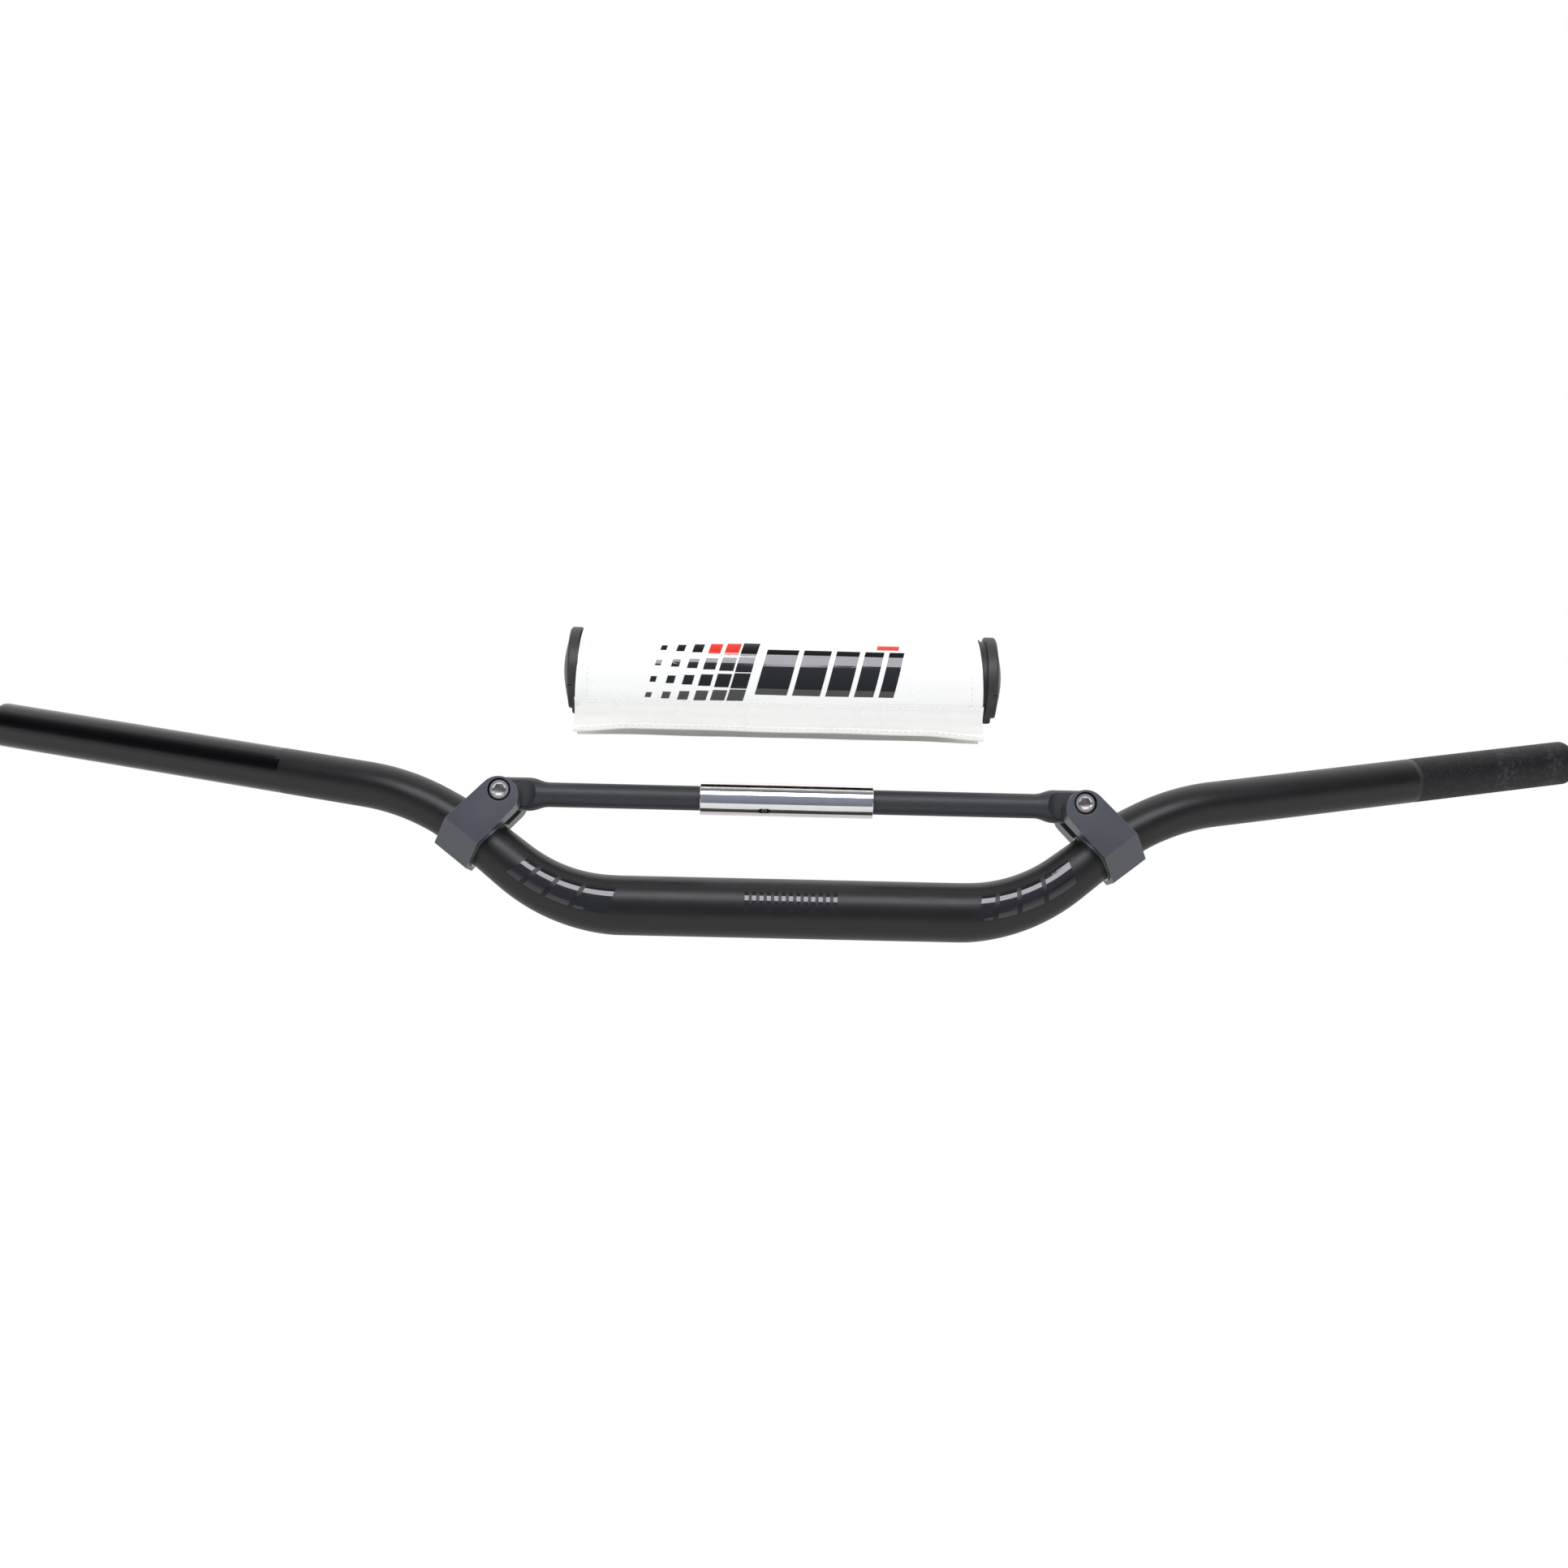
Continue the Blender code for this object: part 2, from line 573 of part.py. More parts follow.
def make_sleeve():
    """Polished sleeve: a through bore, a wider seat for a bush at each end, two pin slots."""
    seat = BUSH_OUTER + GAP
    step = SLEEVE_HALF - BUSH_LENGTH - GAP
    chamfer = 0.0003
    profile = [
        (SLEEVE_RADIUS - chamfer, SLEEVE_HALF),
        (SLEEVE_RADIUS, SLEEVE_HALF - chamfer),
        (SLEEVE_RADIUS, -SLEEVE_HALF + chamfer),
        (SLEEVE_RADIUS - chamfer, -SLEEVE_HALF),
        (seat, -SLEEVE_HALF),
        (seat, -step),
        (SLEEVE_BORE, -step),
        (SLEEVE_BORE, step),
        (seat, step),
        (seat, SLEEVE_HALF),
    ]
    sleeve = turned("crossbar_sleeve", profile, along_x(1, (SLEEVE_SHIFT, 0.0, CROSSBAR_Z)), ring=True)
    slot_radius = PIN_RADIUS + GAP
    ends = PIN_SLOT_HALF - slot_radius
    outline = (
        arc((ends, 0.0), slot_radius, -math.pi / 2, math.pi / 2, 8)
        + arc((-ends, 0.0), slot_radius, math.pi / 2, 3 * math.pi / 2, 8)
    )
    for side, word in ((-1, "left"), (1, "right")):
        frame = pin_frame(side) @ Matrix.Translation((0.0, 0.0, SLEEVE_RADIUS))
        boolean(sleeve, prism("sleeve_slot_cutter_" + word, outline, 0.005, frame, cutter=True))
    finish(sleeve, "polished_aluminium")


def make_sleeve_internals():
    """End bushes, the middle spacer and a rubber buffer against each rod's end."""
    place = along_x(1, (0.0, 0.0, CROSSBAR_Z))
    spacer = [(SLEEVE_BORE - GAP, SPACER_HALF), (SLEEVE_BORE - GAP, -SPACER_HALF)]
    spacer = [(0.0, SPACER_HALF)] + spacer + [(0.0, -SPACER_HALF)]
    finish(turned("sleeve_spacer", spacer, place), "polished_aluminium")
    for side, word in ((-1, "left"), (1, "right")):
        end_frame = along_x(side, (SLEEVE_SHIFT, 0.0, CROSSBAR_Z))
        inner_end = SLEEVE_HALF - BUSH_LENGTH
        bush = [
            (BUSH_OUTER, SLEEVE_HALF - GAP), (BUSH_OUTER, inner_end),
            (SLEEVE_BORE, inner_end), (SLEEVE_BORE, SLEEVE_HALF - GAP),
        ]
        finish(turned("sleeve_bush_" + word, bush, end_frame, ring=True), "bearing_plastic")
        top = ROD_INNER_END - GAP
        foot = SPACER_HALF + GAP
        bulge = (top + foot) / 2
        waist = BUFFER_RADIUS - 0.0007
        buffer = [(0.0, top), (waist, top), (BUFFER_RADIUS, bulge), (waist, foot), (0.0, foot)]
        middle_frame = along_x(side, (0.0, 0.0, CROSSBAR_Z))
        finish(turned("rubber_buffer_" + word, buffer, middle_frame), "buffer_rubber")


# ==== Crossbar pad ==============================================================================
def pad_end_view():
    """Frame for outlines drawn in the pad's y and z, extruded along the pad."""
    return frame_matrix((0, 1, 0), (0, 0, 1), (1, 0, 0), PAD_CENTRE)


def pad_slot(name):
    """Cutter for the slot that lets the crossbar in from below, round at its top."""
    deep = -0.03
    outline = (
        arc((0.0, PAD_SLOT_RISE), PAD_SLOT_HALF, 0.0, math.pi, 16)
        + [(-PAD_SLOT_HALF, deep), (PAD_SLOT_HALF, deep)]
    )
    return prism(name, outline, 0.15, pad_end_view(), cutter=True)


def make_foam(slot):
    profile = [(0.0, FOAM_HALF), (FOAM_RADIUS, FOAM_HALF), (FOAM_RADIUS, -FOAM_HALF), (0.0, -FOAM_HALF)]
    foam = turned("pad_foam", profile, along_x(1, PAD_CENTRE), PAD_SEGMENTS)
    boolean(foam, slot)
    finish(foam, "pad_foam")


def make_cover():
    """Vinyl cover round the foam, open along the bottom between the two flaps."""
    start = -math.pi / 2 + COVER_OPEN_ANGLE
    end = 3 * math.pi / 2 - COVER_OPEN_ANGLE
    outline = arc((0.0, 0.0), COVER_OUTER, start, end, PAD_SEGMENTS)
    outline += arc((0.0, 0.0), COVER_INNER, end, start, PAD_SEGMENTS)
    finish(prism("pad_cover", outline, COVER_HALF, pad_end_view()), "white_vinyl")


def make_cap(name, side, slot):
    """Moulded end cap: a spigot inside the cover, a neck, a rim and a low dome."""
    spigot_end = FOAM_HALF + GAP
    neck_end = COVER_HALF + CAP_NECK_LENGTH
    rim_end = neck_end + CAP_RIM_LENGTH
    round_edge = 0.0008
    dome_steps = 4
    dome_radius = CAP_RIM_RADIUS - round_edge
    dome = []
    for i in range(dome_steps + 1):
        angle = math.pi / 2 * i / dome_steps
        dome.append((dome_radius * math.sin(angle), rim_end + CAP_DOME_HEIGHT * math.cos(angle)))
    profile = dome + [
        (CAP_RIM_RADIUS, rim_end - round_edge),
        (CAP_RIM_RADIUS, neck_end),
        (CAP_NECK_RADIUS, neck_end),
        (CAP_NECK_RADIUS, COVER_HALF),
        (CAP_SPIGOT_RADIUS, COVER_HALF - GAP),
        (CAP_SPIGOT_RADIUS, spigot_end),
        (0.0, spigot_end),
    ]
    cap = turned(name, profile, along_x(side, PAD_CENTRE), PAD_SEGMENTS)
    boolean(cap, slot)
    finish(cap, "cap_rubber")


def make_flap(word, face, hinge_line, strip_name, strip_side):
    """A closing flap, hanging from its hinge line, and its hook or loop strip.

    face is -1 for the front flap and 1 for the rear one. strip_side is 1 for a strip on the
    face that looks at the other flap, and -1 for the outer face.
    """
    hinge = PAD_CENTRE + Vector((0.0, *hinge_line))
    end_view = frame_matrix((0, 1, 0), (0, 0, 1), (1, 0, 0), hinge)
    outline = (
        arc((0.0, 0.0), FLAP_HALF_THICKNESS, 0.0, math.pi, 6)
        + [(-FLAP_HALF_THICKNESS, -FLAP_LENGTH), (FLAP_HALF_THICKNESS, -FLAP_LENGTH)]
    )
    finish(prism("pad_flap_" + word, outline, COVER_HALF, end_view), "white_vinyl")
    toward = -face * strip_side
    near = toward * (FLAP_HALF_THICKNESS + STRIP_GAP)
    far = near + toward * STRIP_THICKNESS
    low = (-COVER_HALF + 0.004, min(near, far), -STRIP_END)
    high = (COVER_HALF - 0.004, max(near, far), -STRIP_START)
    strip = box(strip_name, low, high, Matrix.Translation(hinge), cutter=False)
    finish(strip, "hook_and_loop")


def make_pad():
    slot = pad_slot("pad_slot_cutter")
    make_foam(slot)
    make_cover()
    make_cap("pad_end_cap_left", -1, slot)
    make_cap("pad_end_cap_right", 1, slot)
    make_flap("front", -1, FRONT_HINGE, "hook_strip", 1)
    make_flap("rear", 1, REAR_HINGE, "loop_strip", -1)


def lift_to_seat():
    """Brings the tube's underside, at the middle of the bar, to the origin."""
    for collection in (PARTS, CUTTERS):
        for obj in collection.objects:
            obj.location.z += SEAT_DEPTH


# ==== Assembly ==================================================================================
clear_scene()
PARTS = new_collection(OBJECT_NAME)
CUTTERS = new_collection(OBJECT_NAME + "_cutters")
make_bar()
make_clamps()
make_shims()
make_bolt("pivot_bolt_left", -1)
make_bolt("pivot_bolt_right", 1)
make_bushing("pivot_bushing_left", -1, BUSHING_RADIUS_LEFT)
make_bushing("pivot_bushing_right", 1, BUSHING_RADIUS_RIGHT)
make_rod("crossbar_rod_left", -1, EYE_HOLE_LEFT)
make_rod("crossbar_rod_right", 1, EYE_HOLE_RIGHT)
make_pin("retaining_pin_left", -1)
make_pin("retaining_pin_right", 1)
make_sleeve()
make_sleeve_internals()
make_pad()
lift_to_seat()
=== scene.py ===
"""Looks of the motorcycle handlebar: finely bevelled metal, knurling, decals and the soft crossbar pad,
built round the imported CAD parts, with a studio floor, lights and the camera.

Everything is in metres, in the CAD's own frame: +X to the rider's left, +Y back to the rider, +Z up,
and the origin where the tube rests in the stem's saddle.
"""

import json
import math

import bmesh
import bpy
import numpy as np
from mathutils import Matrix, Vector, noise

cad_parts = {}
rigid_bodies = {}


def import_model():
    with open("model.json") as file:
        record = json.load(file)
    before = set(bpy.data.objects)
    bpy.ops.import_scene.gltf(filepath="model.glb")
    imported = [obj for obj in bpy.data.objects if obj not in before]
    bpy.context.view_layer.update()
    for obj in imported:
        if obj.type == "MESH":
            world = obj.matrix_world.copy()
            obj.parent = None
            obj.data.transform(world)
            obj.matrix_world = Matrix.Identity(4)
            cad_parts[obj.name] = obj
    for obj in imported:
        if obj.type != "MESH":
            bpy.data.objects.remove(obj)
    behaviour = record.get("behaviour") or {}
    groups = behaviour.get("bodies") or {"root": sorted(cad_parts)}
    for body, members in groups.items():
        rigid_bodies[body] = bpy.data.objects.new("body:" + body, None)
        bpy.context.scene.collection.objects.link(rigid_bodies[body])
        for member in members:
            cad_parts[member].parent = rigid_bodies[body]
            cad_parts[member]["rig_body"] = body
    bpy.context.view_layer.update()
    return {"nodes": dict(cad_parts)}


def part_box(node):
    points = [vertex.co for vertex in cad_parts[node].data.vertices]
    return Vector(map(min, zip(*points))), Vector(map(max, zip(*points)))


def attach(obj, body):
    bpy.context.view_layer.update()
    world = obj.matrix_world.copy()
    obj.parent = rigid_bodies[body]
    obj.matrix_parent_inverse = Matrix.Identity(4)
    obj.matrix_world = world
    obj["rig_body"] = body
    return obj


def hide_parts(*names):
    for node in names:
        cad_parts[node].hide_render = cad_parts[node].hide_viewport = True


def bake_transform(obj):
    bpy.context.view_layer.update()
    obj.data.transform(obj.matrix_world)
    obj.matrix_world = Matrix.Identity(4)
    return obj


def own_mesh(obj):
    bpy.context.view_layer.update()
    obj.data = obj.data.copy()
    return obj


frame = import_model()
SIDES = ((-1, "left"), (1, "right"))

MM = 0.001

# ---- Bar tube
AXIS_Z = 0.01418            # the tube's axis at the middle of the bar, above its seat
BAR_MIDDLE = Vector((0.0, 0.0, AXIS_Z))
LOWER_CORNER = Vector((0.1095, 0.0, AXIS_Z))
UPPER_CORNER = Vector((0.1762, 0.0, AXIS_Z + 0.0514))
BAR_END = Vector((0.4035, 0.052, AXIS_Z + 0.0880))
LOWER_BEND_RADIUS = 0.084
UPPER_BEND_RADIUS = 0.113
CENTRE_RADIUS = 0.0143
GRIP_RADIUS = 0.0111
WALL = 0.0035
TAPER_START_X = 0.085
TAPER_END_X = 0.168
TUBE_SEGMENTS = 96
RING_STEP = 3 * MM
GLOSS_START_X = 0.2505      # throttle side, smooth from here to the end
KNURL_START_X = 0.3150      # clutch side, knurled from here to the end
KNURL_TEETH = 41
BANDS_X = 0.360             # where the knurl's rubbed bands start
BANDS_LENGTH = 0.045
KNURL_HEIGHT = 0.16 * MM
KNURL_SINK = 0.06 * MM      # the knurl's roots below the plain tube

# ---- Crossbar
PIVOT_X = 0.139
BRIGHT_FACE_RADIUS = 0.0043     # the bolt head is painted dark outside this, as painted shade of the counterbore gap round it
CROSSBAR_Z = AXIS_Z + 0.0525
SLEEVE_HALF = 0.0417
SLEEVE_SHIFT = -0.0029
SLEEVE_RADIUS = 0.008
SLEEVE_BORE = 0.0063
BUSH_SEAT = 0.0074
BUSH_SEAT_DEPTH = 0.0063
PIN_X = 0.0136
PIN_TILT = math.radians(-50)
PIN_SLOT_HALF = 0.003
PIN_SLOT_RADIUS = 0.0015

# ---- Pad
PAD_CENTRE = Vector((-0.0060, 0.0, AXIS_Z + 0.1135))
COVER_HALF = 0.0955
COVER_SHIFT = -0.0015       # the cloth sits a little to the left on its foam
COVER_SLANT = 0.0030        # each end reaches this much further at the bottom than at the top
COVER_OUTER = 0.0217
COVER_SURFACE = 0.02145     # mean radius of the cloth's outer face
COVER_THICKNESS = 0.0010
COVER_OPEN_ANGLE = math.radians(24.5)     # from straight down to each edge of the cloth
COVER_START = -math.pi / 2 + COVER_OPEN_ANGLE
COVER_END = 3 * math.pi / 2 - COVER_OPEN_ANGLE
END_HEM = 5.2 * MM          # from the cloth's end to the seam of its hem
STITCH_PITCH = 2.9 * MM
STITCH_LENGTH = 2.1 * MM
FOAM_HALF = 0.0910
FOAM_RADIUS = 0.0203
SLOT_HALF = 0.0083
SLOT_RISE = 0.0013
CLOTH_HALF = 0.45 * MM      # half thickness of a flap
HEM = 0.28 * MM             # what the folded hem adds to it
# Side, distance out, height where the flap hangs straight, its end, its corners' drop, its curl inward
FLAPS = {
    "front": (-1, 0.00995, -0.0238, -0.0292, 0.0022, 0.0),
    "rear": (1, 0.0091, -0.0236, -0.0294, 0.0004, 0.0020),
}
LAP_SHARE = 0.2             # of a flap's outline, from its top: lapped on the cover, then bending down
HANG_SHARE = 0.6


# ==== Node helpers ====
def node(tree, kind, inputs=(), **settings):
    """A shader node. An input given a socket is linked, and one given a value is set."""
    made = tree.nodes.new("ShaderNode" + kind)
    for key, value in settings.items():
        setattr(made, key, value)
    for key, value in dict(inputs).items():
        if isinstance(value, bpy.types.NodeSocket):
            tree.links.new(value, made.inputs[key])
        else:
            made.inputs[key].default_value = value
    return made


def maths(tree, operation, *values):
    return node(tree, "Math", dict(enumerate(values)), operation=operation).outputs[0]


def product(tree, *values):
    return maths(tree, "MULTIPLY", *values)


def ramp(tree, factor, stops):
    """A colour ramp from (position, grey or colour) stops."""
    made = node(tree, "ValToRGB", {"Fac": factor})
    elements = made.color_ramp.elements
    while len(elements) < len(stops):
        elements.new(1.0)
    for element, (position, colour) in zip(elements, stops):
        element.position = position
        if not isinstance(colour, tuple):
            colour = (colour, colour, colour)
        element.color = (*colour, 1.0)
    return made.outputs["Color"]


def mix_colour(tree, factor, a, b, blend="MIX"):
    made = node(tree, "Mix", data_type="RGBA", blend_type=blend)
    for socket, value in ((made.inputs[0], factor), (made.inputs[6], a), (made.inputs[7], b)):
        if isinstance(value, bpy.types.NodeSocket):
            tree.links.new(value, socket)
        else:
            socket.default_value = value if not isinstance(value, tuple) else (*value, 1.0)
    return made.outputs[2]


def position(tree, scale=(1.0, 1.0, 1.0)):
    """The piece's own coordinates in metres, stretched by scale."""
    coordinates = node(tree, "TexCoord").outputs["Object"]
    return node(tree, "Mapping", {"Vector": coordinates, "Scale": scale}).outputs[0]


def grain(tree, vector, size, detail=2.0, roughness=0.5):
    """Noise whose features are about size metres across."""
    inputs = {"Vector": vector, "Scale": 1.0 / size, "Detail": detail, "Roughness": roughness}
    return node(tree, "TexNoise", inputs).outputs["Fac"]


def bump(tree, height, distance, strength):
    return node(tree, "Bump", {"Height": height, "Distance": distance, "Strength": strength}).outputs[0]


def scaled(colour, factor):
    return tuple(min(factor * c, 1.0) for c in colour)


def new_material(name):
    material = bpy.data.materials.new(name)
    material.use_nodes = True
    tree = material.node_tree
    tree.nodes.clear()
    surface = node(tree, "BsdfPrincipled")
    output = node(tree, "OutputMaterial")
    tree.links.new(surface.outputs[0], output.inputs[0])
    return material, tree, surface


def drive(surface, **values):
    """Sets or links the principled shader's inputs. Underscores stand for spaces."""
    for key, value in values.items():
        socket = surface.inputs[key.replace("_", " ")]
        if isinstance(value, bpy.types.NodeSocket):
            surface.id_data.links.new(value, socket)
        elif isinstance(value, tuple):
            socket.default_value = (*value, 1.0)
        else:
            socket.default_value = value


# ==== Materials ====
def edge_wear(tree, radius):
    """1 along convex and concave edges, 0 on open faces, broken up by noise."""
    rounded = node(tree, "Bevel", {"Radius": radius}, samples=4).outputs[0]
    flat = node(tree, "NewGeometry").outputs["Normal"]
    dot = node(tree, "VectorMath", {0: rounded, 1: flat}, operation="DOT_PRODUCT").outputs["Value"]
    edge = maths(tree, "SUBTRACT", 1.0, dot)
    patches = grain(tree, position(tree), 2.5 * MM, 3.0)
    return product(tree, edge, product(tree, patches, 5.0))


def bead_blasted(name, colour, lighter, rough, ior, wear=0.0):
    """Black anodised skin with a blasted grain, faint mottling and, where asked, worn edges."""
    material, tree, surface = new_material(name)
    here = position(tree)
    pits = grain(tree, here, 0.32 * MM, 3.0, 0.6)
    specks = ramp(tree, grain(tree, here, 0.7 * MM, 1.0), [(0.62, 0.0), (0.78, 1.0)])
    clouds = grain(tree, here, 14 * MM, 3.0)
    tone = mix_colour(tree, clouds, colour, lighter)
    tone = mix_colour(tree, product(tree, specks, 0.35), tone, scaled(lighter, 2.2))
    roughness = maths(tree, "ADD", rough - 0.07, product(tree, clouds, 0.14))
    if wear:
        worn = node(tree, "Clamp", {0: product(tree, edge_wear(tree, 0.35 * MM), wear)})
        tone = mix_colour(tree, worn.outputs[0], tone, (0.30, 0.31, 0.33))
    drive(surface, Base_Color=tone, Roughness=roughness, IOR=ior,
          Normal=bump(tree, pits, 0.05 * MM, 0.55))
    return material


def smooth_anodised(name):
    """Dense, smooth black coating: glassy, with faint lengthwise drawing lines and handling marks."""
    material, tree, surface = new_material(name)
    lines = grain(tree, position(tree, (0.02, 1.0, 1.0)), 0.5 * MM, 2.0)
    smears = grain(tree, position(tree, (0.4, 1.0, 1.0)), 9 * MM, 3.0)
    rough = ramp(tree, smears, [(0.35, 0.10), (0.75, 0.18)])
    drive(surface, Base_Color=(0.0014, 0.0013, 0.0022), Roughness=rough, IOR=1.55,
          Normal=bump(tree, lines, 0.006 * MM, 0.5))
    return material


def knurled(name):
    """Anodised knurl whose crests have rubbed paler, more so in two bands near the end."""
    material, tree, surface = new_material(name)
    here = position(tree)
    crest = node(tree, "Attribute", attribute_name="crest").outputs["Fac"]
    along = node(tree, "SeparateXYZ", {0: here}).outputs[0]
    stops = [(0.0, 0.25), (0.03, 1.0), (0.16, 0.9), (0.30, 0.35), (0.60, 0.3), (0.70, 1.0), (0.80, 0.8)]
    stops.append((0.88, 0.25))
    bands = ramp(tree, product(tree, maths(tree, "SUBTRACT", along, BANDS_X), 1 / BANDS_LENGTH), stops)
    rubbed = ramp(tree, grain(tree, here, 2.2 * MM, 4.0, 0.7), [(0.46, 0.0), (0.62, 1.0)])
    paler = product(tree, product(tree, crest, rubbed), bands)
    tone = mix_colour(tree, paler, (0.0065, 0.0065, 0.0085), (0.12, 0.12, 0.135))
    drive(surface, Base_Color=tone, Roughness=0.5, IOR=1.42,
          Normal=bump(tree, grain(tree, here, 0.25 * MM, 2.0), 0.03 * MM, 0.4))
    return material


def turned_metal(name, colour, rough, metallic, groove, depth, axis="X"):
    """Metal with fine turning lines round an axis."""
    material, tree, surface = new_material(name)
    stretch = {"X": (1.0, 0.04, 0.04), "Y": (0.04, 1.0, 0.04)}[axis]
    lines = grain(tree, position(tree, stretch), groove, 3.0, 0.7)
    clouds = grain(tree, position(tree), 8 * MM, 3.0)
    tone = mix_colour(tree, clouds, scaled(colour, 0.86), scaled(colour, 1.12))
    roughness = maths(tree, "ADD", rough - 0.04, product(tree, lines, 0.08))
    drive(surface, Base_Color=tone, Roughness=roughness, Metallic=metallic,
          Normal=bump(tree, lines, depth, 0.6))
    return material


def vinyl(name, colour, shade):
    """Coated cloth: a fine pressed grain under a glossy skin, faint stains, and painted shade that makes
    it greyer and creamier towards the bottom.
    """
    material, tree, surface = new_material(name)
    here = position(tree)
    cells = node(tree, "TexVoronoi", {"Vector": here, "Scale": 1 / (0.75 * MM)},
                 feature="SMOOTH_F1").outputs["Distance"]
    weave = grain(tree, here, 0.22 * MM, 2.0)
    pressed = maths(tree, "ADD", cells, product(tree, weave, 0.3))
    stains = grain(tree, here, 22 * MM, 4.0, 0.6)
    height = node(tree, "SeparateXYZ", {0: here}).outputs[2]
    # painted shade: below this height the cloth is mixed towards the shade colour, which also tints the
    # faint real stains
    low = node(tree, "MapRange",
               {0: height, 1: AXIS_Z + 0.100, 2: AXIS_Z + 0.087, 3: 0.0, 4: 1.0}).outputs[0]
    tone = mix_colour(tree, maths(tree, "MAXIMUM", low, product(tree, stains, 0.25)), colour, shade)
    drive(surface, Base_Color=tone, Roughness=ramp(tree, stains, [(0.3, 0.24), (0.8, 0.36)]),
          Coat_Weight=0.35, Coat_Roughness=0.12, Normal=bump(tree, pressed, 0.05 * MM, 0.22),
          Subsurface_Weight=0.04, Subsurface_Scale=0.002)
    return material


def printed(name, colour):
    """A glossy printed film on the vinyl, so thin that the grain shows faintly."""
    material, tree, surface = new_material(name)
    here = position(tree)
    cells = grain(tree, here, 0.8 * MM, 2.0)
    tone = mix_colour(tree, grain(tree, here, 6 * MM, 3.0), colour, scaled(colour, 1.25))
    drive(surface, Base_Color=tone, Roughness=0.07, IOR=1.75, Coat_Weight=0.6, Coat_Roughness=0.05,
          Normal=bump(tree, cells, 0.01 * MM, 0.25))
    return material


def moulded(name, colour, rough, size, depth, lighter=1.6):
    """Moulded rubber or plastic: a fine spark-eroded texture and a faint bloom."""
    material, tree, surface = new_material(name)
    here = position(tree)
    bloom = grain(tree, here, 5 * MM, 4.0, 0.65)
    tone = mix_colour(tree, bloom, colour, scaled(colour, lighter))
    roughness = maths(tree, "ADD", rough - 0.08, product(tree, bloom, 0.16))
    drive(surface, Base_Color=tone, Roughness=roughness,
          Normal=bump(tree, grain(tree, here, size), depth, 0.6))
    return material


def cellular(name, colour):
    """Closed-cell foam: small pits of uneven size, with painted shade darkening their insides."""
    material, tree, surface = new_material(name)
    here = position(tree)
    cells = node(tree, "TexVoronoi", {"Vector": here, "Scale": 1 / (0.9 * MM)}).outputs["Distance"]
    pits = ramp(tree, cells, [(0.0, 0.35), (0.6, 1.0)])
    # painted shade: the foam colour is multiplied darker towards each pit's middle
    tone = mix_colour(tree, 1.0, pits, colour, "MULTIPLY")
    drive(surface, Base_Color=tone, Roughness=0.95, Normal=bump(tree, pits, 0.2 * MM, 0.8))
    return material


def thread(name, colour):
    """Twisted sewing thread."""
    material, tree, surface = new_material(name)
    inputs = {"Vector": position(tree, (1.0, 0.6, 0.6)), "Scale": 900.0, "Distortion": 1.5}
    twist = node(tree, "TexWave", inputs).outputs["Fac"]
    tone = mix_colour(tree, twist, scaled(colour, 0.82), colour)
    drive(surface, Base_Color=tone, Roughness=0.7, Sheen_Weight=0.3,
          Normal=bump(tree, twist, 0.05 * MM, 0.7))
    return material


def napped(name, colour):
    """Hook or loop tape: a fuzzy, knitted ground."""
    material, tree, surface = new_material(name)
    here = position(tree)
    knit = grain(tree, here, 0.35 * MM, 4.0, 0.8)
    tone = mix_colour(tree, knit, scaled(colour, 0.6), colour)
    drive(surface, Base_Color=tone, Roughness=0.95, Sheen_Weight=0.5,
          Normal=bump(tree, knit, 0.2 * MM, 0.9))
    return material


SATIN = bead_blasted("bar_satin", (0.0050, 0.0050, 0.0060), (0.008, 0.008, 0.009), 0.36, 1.5)
GLOSS = smooth_anodised("bar_gloss")
KNURL = knurled("bar_knurl")
CLAMP = bead_blasted("clamp_satin", (0.016, 0.022, 0.036), (0.023, 0.030, 0.047), 0.38, 2.0, wear=0.6)
SHIM = turned_metal("shim_drawn", (0.50, 0.50, 0.52), 0.34, 1.0, 0.25 * MM, 0.01 * MM)
ROD = turned_metal("rod_satin", (0.026, 0.028, 0.034), 0.45, 0.0, 0.35 * MM, 0.012 * MM)
POLISHED = turned_metal("sleeve_polished", (0.93, 0.93, 0.94), 0.075, 1.0, 0.3 * MM, 0.0015 * MM)
STEEL = turned_metal("bolt_steel", (0.80, 0.78, 0.75), 0.20, 1.0, 0.2 * MM, 0.006 * MM, "Y")
# painted shade: dark metal for the bolt head's rounded rim and sides, standing for the shadow in the
# counterbore gap
BOLT_RIM_SHADE = turned_metal("bolt_rim_shade", (0.030, 0.030, 0.032), 0.40, 0.3, 0.2 * MM, 0.006 * MM, "Y")
# painted shade: darker steel for the faces inside the bolt's key recess
RECESS_SHADE = turned_metal("bolt_recess_shade", (0.36, 0.34, 0.32), 0.26, 1.0, 0.3 * MM, 0.02 * MM, "Y")
BEARING = moulded("bush_plastic", (0.52, 0.50, 0.43), 0.5, 0.3 * MM, 0.02 * MM, 1.15)
BUFFER = moulded("buffer_rubber", (0.020, 0.020, 0.021), 0.75, 0.4 * MM, 0.04 * MM)
CAP = moulded("cap_rubber", (0.020, 0.020, 0.022), 0.46, 0.3 * MM, 0.05 * MM)
VINYL = vinyl("pad_vinyl", (0.93, 0.935, 0.94), (0.78, 0.78, 0.745))
INK = printed("pad_print_black", (0.0045, 0.0045, 0.0045))
RED_INK = printed("pad_print_red", (0.72, 0.035, 0.020))
DECAL = printed("bar_decal_film", (0.0035, 0.0035, 0.0045))
FOAM = cellular("pad_foam_cells", (0.16, 0.16, 0.165))
THREAD = thread("pad_thread", (0.83, 0.83, 0.79))
TAPE = napped("pad_tape", (0.70, 0.70, 0.68))


# ==== Mesh helpers ====
def link(name, data):
    obj = bpy.data.objects.new(name, data)
    bpy.context.scene.collection.objects.link(obj)
    return obj


